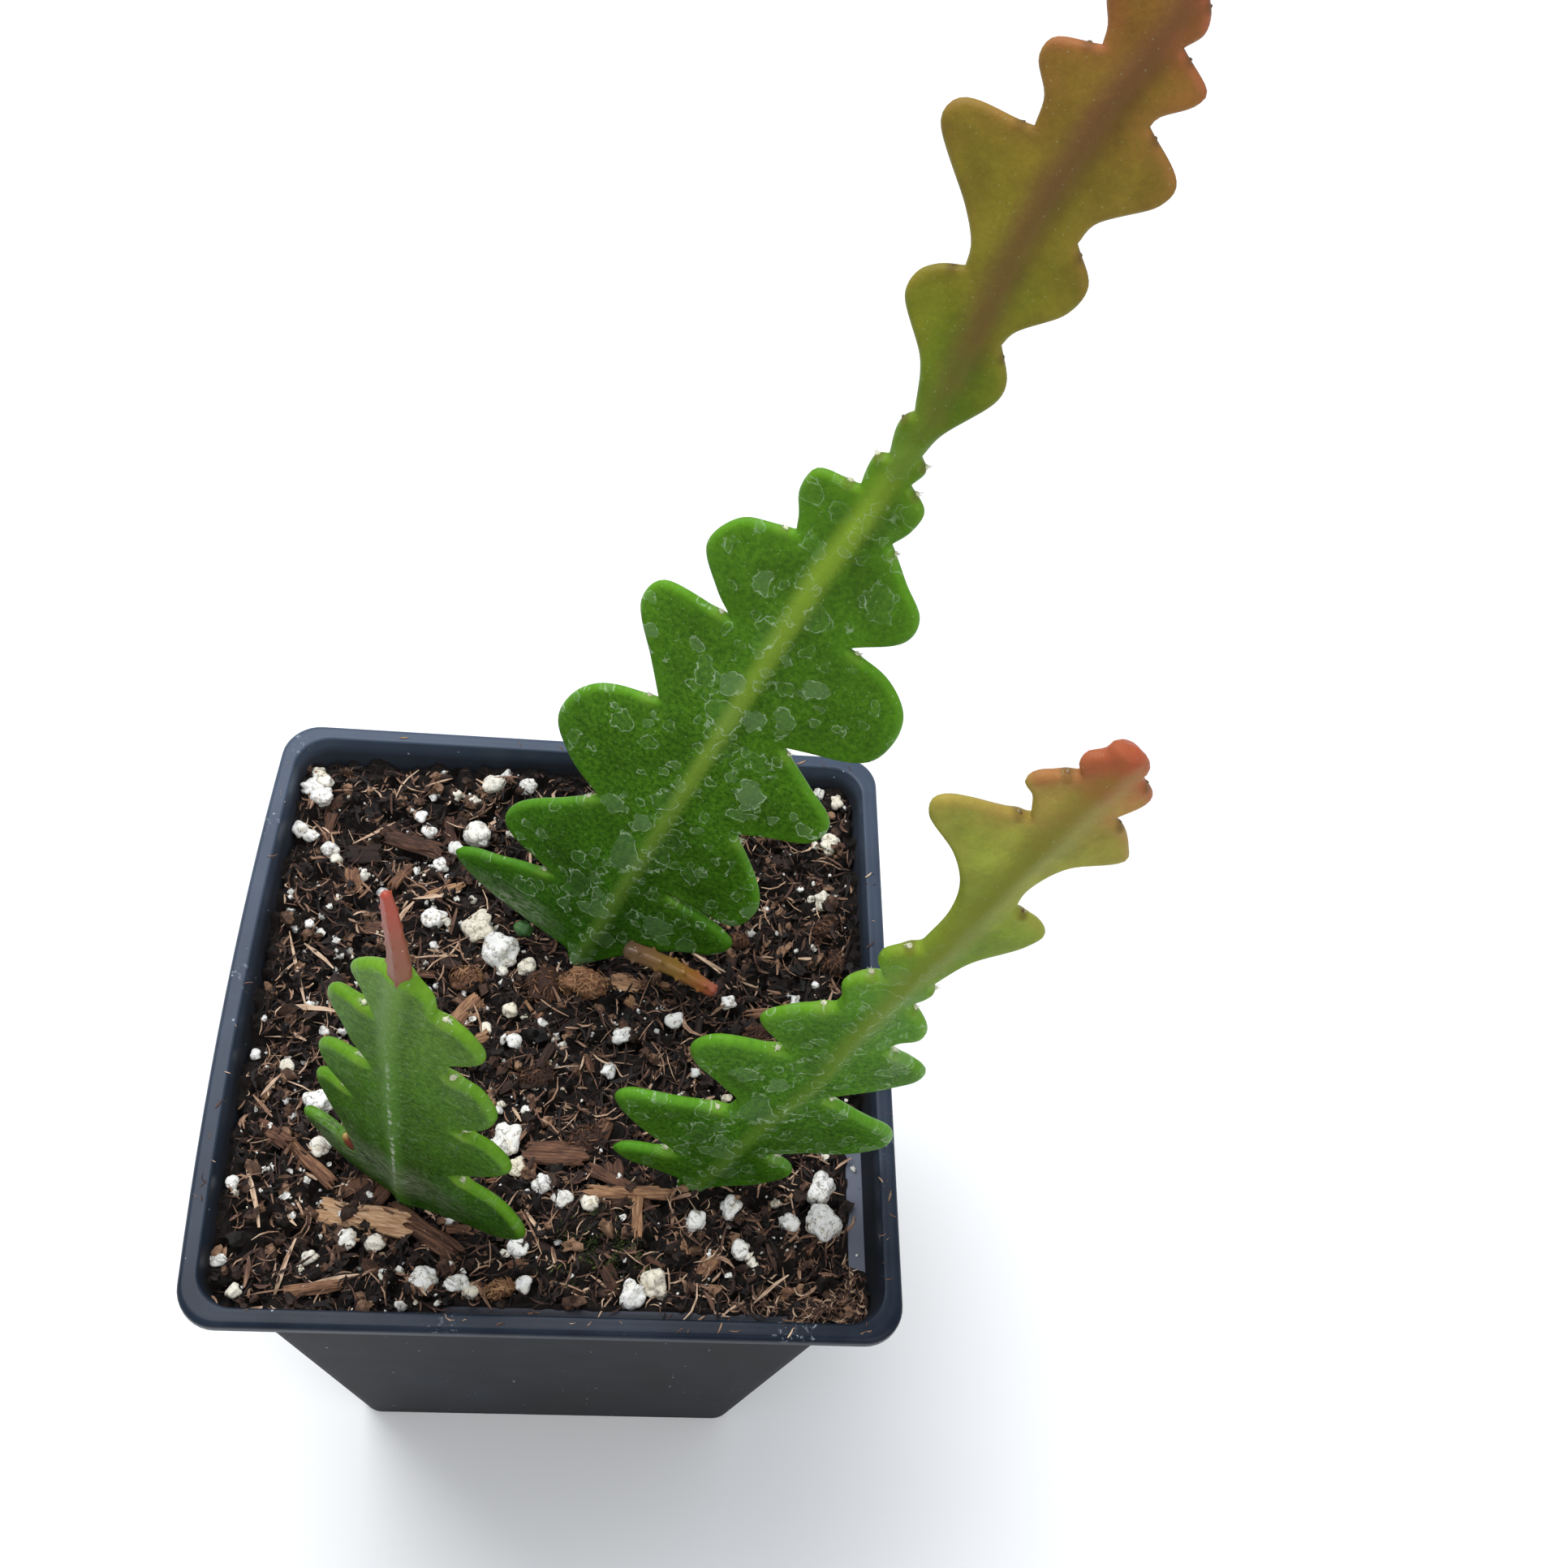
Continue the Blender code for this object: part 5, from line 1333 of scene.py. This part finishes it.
def build_blade(name, spec, settings, seed):
    """A lobed flat stem: a grid laid over the blade's plane, then thickened to a fleshy section."""
    blade, left, right = Blade(spec), Margin(spec["left"]), Margin(spec["right"])
    rows = row_stations(left, right)
    parts = [(1 - math.cos(math.pi * k / SIDE_COLUMNS)) / 2 for k in range(SIDE_COLUMNS + 1)]
    plane = []
    for row in rows:
        middle = blade.sway(row)
        sides = ((-1, left.at(row), parts[::-1]), (1, right.at(row), parts[1:]))
        plane.append([(row + (station - row) * part, middle + (side * reach - middle) * part)
                      for side, (station, reach), shares in sides for part in shares])
    plane = np.array(plane)
    columns = plane.shape[1]
    clear_selection()
    bpy.ops.mesh.primitive_grid_add(x_subdivisions=columns - 1, y_subdivisions=len(rows) - 1,
                                    size=1)
    stem = active(name)
    flat = points_of(stem)
    column = np.rint((flat[:, 0] + 0.5) * (columns - 1)).astype(int)
    row = np.rint((flat[:, 1] + 0.5) * (len(rows) - 1)).astype(int)
    laid = plane[row, column]
    outline = np.array(left.outline(-1) + right.outline(1)[::-1])
    edge, nearest = distance_to_line(laid, outline[:, :2])
    areoles = np.array(left.areoles(-1) + right.areoles(1))
    areole = np.sqrt(((laid[:, None, :] - areoles) ** 2).sum(2)).min(1)
    rib = np.array([reach - blade.sway(station) for station, reach in laid])
    rib_extra = (settings.rib_thickness - settings.blade_thickness) / MM - 0.4
    flesh = settings.blade_thickness / MM - 0.35 + 0.45 * np.clip(edge / 5, 0, 1) \
        + 0.4 * np.exp(-(rib / 4) ** 2) + rib_extra * np.exp(-(rib / 1.3) ** 2)
    roundness = np.sqrt(1 - (1 - np.clip(edge / 0.85, 0, 1)) ** 2)
    bump = 0.7 * np.exp(-(areole / 0.8) ** 2)
    thick = np.maximum((flesh + bump) * roundness, 0.25)
    points = []
    for station, reach in laid:
        wave = noise.noise(Vector((station / 13, reach / 8, seed)))
        ripple = noise.noise(Vector((station / 5, reach / 4, seed + 4)))
        depth = (0.55 * wave + 0.15 * ripple) * min(1.0, abs(reach) / 6) * ease(station / 6)
        points.append(blade.point(float(station), float(reach), float(depth)))
    move_points(stem, points)
    flat_places = np.column_stack((laid[:, 1], laid[:, 0], np.zeros(len(laid))))
    for field, values in (("edge_mm", edge), ("rib_mm", rib), ("upper", outline[nearest, 2]),
                          ("areole_mm", areole), ("station", laid[:, 0] / rows[-1]),
                          ("plane", flat_places)):
        write_values(stem, field, values)
    group = stem.vertex_groups.new(name="thickness")
    for index, share in enumerate(thick / MAX_THICK):
        group.add([index], min(1.0, float(share)), "REPLACE")
    skin = stem.modifiers.new("thickness", "SOLIDIFY")
    skin.thickness = MAX_THICK * MM
    skin.offset = 0.0
    skin.vertex_group = group.name
    skin.thickness_vertex_group = 0.0
    apply_modifiers(stem)
    face_outwards()
    return stem


def build_stem(side, spec, settings, seed, slot, zones, **looks):
    """Models a stem's blade, with the zones and looks that skin_material takes."""
    blade = build_blade(f"cactus_stem_{side}", spec, settings, seed)
    skin = skin_material(f"cactus_skin_{side}", zones[-1][0], zones, settings, **looks)
    deliver(blade, skin, slot, f"stem_{side}")


def build_shoot(name, path, table, form, skin, slot, node_name, segments=40, rings=90):
    """A round tapering shoot: a ball drawn out along a path, ridged, with a knob at each areole.

    The last number of each row in the table is the shoot's radius at that point of the path.
    form is how high its ridges and its knobs are, and how far apart the knobs sit.
    """
    ridges, knobs, spacing = form
    line = smooth_curve(path, 10)
    stations = [0.0]
    for length in stretches(line):
        stations.append(stations[-1] + length)
    total = stations[-1]
    clear_selection()
    bpy.ops.mesh.primitive_uv_sphere_add(segments=segments, ring_count=rings, radius=1.0)
    shoot = active(name)
    radii = [row[-1] * MM for row in table]
    keys = np.linspace(0, 1, len(radii))
    points, shares = [], []
    side = (line[-1] - line[0]).normalized().orthogonal().normalized()
    for x, y, z in points_of(shoot):
        share = min(1.0, max(0.0, (1 - z) / 2))
        wanted = share * total
        step = min(max(1, bisect_left(stations, wanted)), len(stations) - 1)
        start, end = line[step - 1], line[step]
        part = (wanted - stations[step - 1]) / max(1e-9, stations[step] - stations[step - 1])
        ahead = (end - start).normalized()
        first = (side - side.dot(ahead) * ahead).normalized()
        second = ahead.cross(first)
        angle = math.atan2(y, x)
        radius = float(np.interp(share, keys, radii))
        to_end = min(share, 1 - share) * total / max(radius, 1e-6)
        radius *= math.sqrt(max(0.0, 1 - max(0.0, 1 - to_end) ** 2))
        turns = wanted / (spacing * MM) + 0.2 * math.floor(angle)
        ridge = math.cos(SHOOT_RIDGES * angle)
        bead = max(0.0, ridge) ** 3 * max(0.0, math.cos(2 * math.pi * turns)) ** 6
        radius *= 1 + ridges * ridge + knobs * bead
        points.append(start.lerp(end, part)
                      + radius * (math.cos(angle) * first + math.sin(angle) * second))
        shares.append(share)
    move_points(shoot, points)
    write_values(shoot, "station", shares)
    face_outwards(0.005 * MM)
    deliver(shoot, plain_skin_material(*skin), slot, node_name, angle=70)


def build_back_stem(settings):
    # A zone's fourth colour tints the stem's edges and colours their painted highlight
    build_stem("back", BACK_STEM, settings, 1.0, "stem_green", [
        (0, "#396917", "#4e722a", "#4f8a1c", 1.0),
        (45, "#53811b", "#7b9834", "#5c961c", 1.0),
        (84, "#4c7616", "#84a02e", "#609a1c", 0.5),
        (97, "#4e7514", "#586c1e", "#688018", 0.05),
        (112, "#767620", "#634c28", "#80702a", 0.0),
        (132, "#7e6824", "#66482a", "#8e6832", 0.0),
        (143, "#825e26", "#6a462a", "#a85c40", 0.0),
        (160, "#8a5e28", "#6e4428", "#b25a46", 0.0),
    ], brushed=(-12.5, 3.4, 6.0))
    shoot, bud = [[Vector((x, y, POT_HEIGHT + height)) * MM for x, y, height, radius in points]
                  for points in (BASAL_SHOOT, FOOT_BUD)]
    stops = [(0.0, "#5c4a38"), (0.2, "#74563c"), (0.55, "#8a682e"), (0.85, "#985a2e"),
             (1.0, "#aa5544")]
    build_shoot("basal_shoot", shoot, BASAL_SHOOT, (0.05, 0.34, 3.4),
                ("young_shoot_skin", stops, 0.30, 0.7), "stem_olive", "stem_back")
    stops = [(0.0, "#1f3c14"), (0.6, "#2f5824"), (1.0, "#4c7638")]
    build_shoot("foot_bud", bud, FOOT_BUD, (0.1, 0.3, 1.0),
                ("foot_bud_skin", stops, 0.45, 0.5), "stem_green", "stem_back", 24, 30)


def build_right_stem(settings):
    # This stem's young rib has a painted reflection of the sky on its right flank, and no painted
    # shade there
    build_stem("right", RIGHT_STEM, settings, 7.0, "stem_olive", [
        (0, "#407116", "#527825", "#569420", 1.0),
        (35, "#4b7819", "#5b7a22", "#609a22", 1.0),
        (52, "#50801c", "#6a7e28", "#6a9a20", 0.6),
        (64, "#66801f", "#6c7420", "#808e2a", 0.1),
        (80, "#8c9434", "#6e7022", "#9c8c40", 0.0),
        (90, "#948238", "#7c6e2c", "#a07844", 0.0),
        (95, "#9a6236", "#86602c", "#a05c3c", 0.0),
        (98.9, "#a04a2e", "#98502e", "#a04c34", 0.0),
    ], marks=0.75, haze=0.17)


def build_left_stem(settings):
    build_stem("left", LEFT_STEM, settings, 13.0, "stem_green", [
        (0, "#365f17", "#477124", "#5f921c", 1.0),
        (30, "#48731a", "#527c30", "#66981e", 0.9),
        (60, "#5f8528", "#668a3a", "#6c9c20", 0.7),
    ], marks=0.25, scurf=0.8, rim=(1.5, 0.14, 0.5), brushed=(-3.0, 9.0, 9.0))
    blade = Blade(LEFT_STEM)
    shoot, bud = [[blade.point(*place) for *place, radius in points]
                  for points in (TOP_SHOOT, RED_BUD)]
    stops = [(0.0, "#6e5e2c"), (0.3, "#784a2c"), (0.6, "#82462e"), (0.85, "#98402c"),
             (1.0, "#a0402c")]
    build_shoot("top_shoot", shoot, TOP_SHOOT, (0.06, 0.28, 3.0),
                ("top_shoot_skin", stops, 0.42, 0.6), "stem_olive", "stem_left")
    stops = [(0.0, "#5c2a1e"), (0.7, "#7c3a28"), (1.0, "#a88a4c")]
    build_shoot("red_bud", bud, RED_BUD, (0.0, 0.0, 1.0),
                ("red_bud_skin", stops, 0.4, 0.1), "stem_olive", "stem_left", 16, 20)


def areole_spots(spec):
    """Places on a stem's margins where its areoles sit: (point, outward way, station)."""
    blade = Blade(spec)
    spots = []
    for side, lobes in ((-1, spec["left"]), (1, spec["right"])):
        outward = (0.75 * side * blade.across + 0.65 * blade.rise).normalized()
        spots += [(blade.point(station, reach), outward, station)
                  for station, reach in Margin(lobes).areoles(side)]
    return spots


def build_areoles(settings):
    """Sets wool and a pad at every areole. Those below the station old have grown the most."""
    rng = random.Random(settings.seed + 4)
    hairs, pads = [], []
    for spec, old in ((BACK_STEM, 95), (RIGHT_STEM, 66), (LEFT_STEM, 60)):
        for point, outward, station in areole_spots(spec):
            place = point / MM
            count, short, long, radius, sunk, tint = (12, 0.35, 1.1, 0.40, 0.12, 0.9) \
                if station < old else (5, 0.25, 0.5, 0.32, 0.20, 0.1)
            for hair in range(count):
                way = (outward + Vector([rng.gauss(0, 0.55) for axis in range(3)])).normalized()
                length = rng.uniform(short, long)
                turn = Vector((1, 0, 0)).rotation_difference(way).to_matrix().to_4x4()
                size = Matrix.Diagonal((length * MM, length * MM, length * MM, 1))
                at = Matrix.Translation((place + way * length * 0.35) * MM)
                hairs.append((rng.randrange(3), at @ turn @ size, rng.random()))
            pads.append((rng.randrange(4), placed(*(place - outward * sunk), rng.uniform(0, 360),
                                                  0, 0, (radius, radius, radius * 0.9)), tint))
    stems = ("stem_back", "stem_left", "stem_right")
    wool = copies("areole_wool", shred_masters(3, rng, 1, 3, 0.08, 0.14), hairs)
    deliver(wool, wool_material(), "stem_green", *stems)
    stops = [(0.0, "#503c1c"), (0.4, "#6a5a30"), (1.0, "#d0d2b0")]
    deliver(copies("areole_pads", ball_masters("pad", 4, 2, 0.4, 0.3), pads),
            fibre_material("areole_pad", stops, 1.0), "stem_green", *stems, angle=75)


# Stage

def build_stage(settings):
    clear_selection()
    bpy.ops.mesh.primitive_plane_add(size=12.0, location=(0, 0, 0))
    floor = active("floor")
    floor.data.materials.append(floor_material(settings))
    world = bpy.data.worlds.new("studio")
    world.use_nodes = True
    tree = world.node_tree
    light = tree.nodes["Background"]
    light.inputs["Strength"].default_value = settings.sky
    up = node(tree, "SeparateXYZ", node(tree, "TexCoord", out="Generated"), out="Z")
    stops = [(0.0, "#dadde8"), (0.35, "#dee3ea"), (0.8, "#ecf3ff")]
    tones = node(tree, "ValToRGB", up, stops=stops)
    tree.links.new(tones, light.inputs["Color"])
    scene = bpy.context.scene
    scene.world = world
    for name, place, size, power, tone in (
            ("key", (-0.25, 0.35, 0.9), 0.7, settings.key, "#fbfcff"),
            ("fill", (0.5, -0.6, 0.7), 0.8, settings.key * 0.35, "#fffaf4")):
        lamp = bpy.data.lights.new(name, "AREA")
        lamp.size = size
        lamp.energy = power
        lamp.color = srgb(tone)
        obj = bpy.data.objects.new(name, lamp)
        obj.location = place
        obj.rotation_euler = (Vector(LIT_SPOT) - obj.location).to_track_quat("-Z", "Y").to_euler()
        scene.collection.objects.link(obj)
    camera = bpy.data.objects.new("camera", bpy.data.cameras.new("camera"))
    axes = Matrix((CAMERA_RIGHT, [-v for v in CAMERA_DOWN], [-v for v in CAMERA_AHEAD]))
    camera.matrix_world = Matrix.Translation(CAMERA_PLACE) @ axes.transposed().to_4x4()
    camera.data.lens = CAMERA_LENS
    camera.data.sensor_width = 36.0
    camera.data.clip_start = 0.01
    scene.collection.objects.link(camera)
    scene.camera = camera
    scene.view_settings.view_transform = "Standard"


# Operators

class CACTUS_OT_pot(bpy.types.Operator):
    """Models the nursery pot: a thin moulded shell with a rolled lip, a ledge and drain holes"""
    bl_idname = "cactus.pot"
    bl_label = "Pot"

    def execute(self, context):
        build_pot(context.scene.cactus_pot)
        return {"FINISHED"}


class CACTUS_OT_soil(bpy.types.Operator):
    """Fills the pot with peat, heaped against its walls"""
    bl_idname = "cactus.soil"
    bl_label = "Soil"

    def execute(self, context):
        build_soil(context.scene.cactus_soil)
        return {"FINISHED"}


class CACTUS_OT_perlite(bpy.types.Operator):
    """Lays the perlite lumps and scatters the fine grains"""
    bl_idname = "cactus.perlite"
    bl_label = "Perlite"

    def execute(self, context):
        build_perlite(context.scene.cactus_soil)
        return {"FINISHED"}


class CACTUS_OT_litter(bpy.types.Operator):
    """Lays bark chips, clumps of coir, peat crumbs, loose shreds and moss on the soil"""
    bl_idname = "cactus.litter"
    bl_label = "Bark, fibre and moss"

    def execute(self, context):
        settings = context.scene.cactus_soil
        build_bark(settings)
        build_crumbs(settings)
        build_shreds(settings)
        build_moss(settings)
        return {"FINISHED"}


class CACTUS_OT_stems(bpy.types.Operator):
    """Models the three lobed stems with their young round shoots"""
    bl_idname = "cactus.stems"
    bl_label = "Stems"

    def execute(self, context):
        settings = context.scene.cactus_stems
        build_back_stem(settings)
        build_right_stem(settings)
        build_left_stem(settings)
        return {"FINISHED"}


class CACTUS_OT_areoles(bpy.types.Operator):
    """Sets an areole with its wool in every notch of the stems"""
    bl_idname = "cactus.areoles"
    bl_label = "Areoles"

    def execute(self, context):
        build_areoles(context.scene.cactus_soil)
        return {"FINISHED"}


class CACTUS_OT_stage(bpy.types.Operator):
    """Sets the floor, the lights and the camera"""
    bl_idname = "cactus.stage"
    bl_label = "Stage"

    def execute(self, context):
        build_stage(context.scene.cactus_stage)
        return {"FINISHED"}


PIECES = (CACTUS_OT_pot, CACTUS_OT_soil, CACTUS_OT_perlite, CACTUS_OT_litter, CACTUS_OT_stems,
          CACTUS_OT_areoles, CACTUS_OT_stage)


class CACTUS_PT_panel(bpy.types.Panel):
    """Lists the settings and the pieces"""
    bl_idname = "CACTUS_PT_panel"
    bl_label = "Potted cactus"
    bl_space_type = "VIEW_3D"
    bl_region_type = "UI"
    bl_category = "Cactus"

    def draw(self, context):
        for group in (context.scene.cactus_pot, context.scene.cactus_soil,
                      context.scene.cactus_stems, context.scene.cactus_stage):
            box = self.layout.box()
            for name in group.__annotations__:
                box.prop(group, name)
        for piece in PIECES:
            self.layout.operator(piece.bl_idname)


SETTINGS = {"cactus_pot": PotSettings, "cactus_soil": SoilSettings, "cactus_stems": StemSettings,
            "cactus_stage": StageSettings}


def register():
    for cls in (*SETTINGS.values(), *PIECES, CACTUS_PT_panel):
        bpy.utils.register_class(cls)
    for name, cls in SETTINGS.items():
        setattr(bpy.types.Scene, name, PointerProperty(type=cls))


def unregister():
    for name in SETTINGS:
        delattr(bpy.types.Scene, name)
    for cls in reversed((*SETTINGS.values(), *PIECES, CACTUS_PT_panel)):
        bpy.utils.unregister_class(cls)


def main():
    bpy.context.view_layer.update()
    register()
    for piece in PIECES:
        group, name = piece.bl_idname.split(".")
        getattr(getattr(bpy.ops, group), name)()


if __name__ == "__main__":
    main()
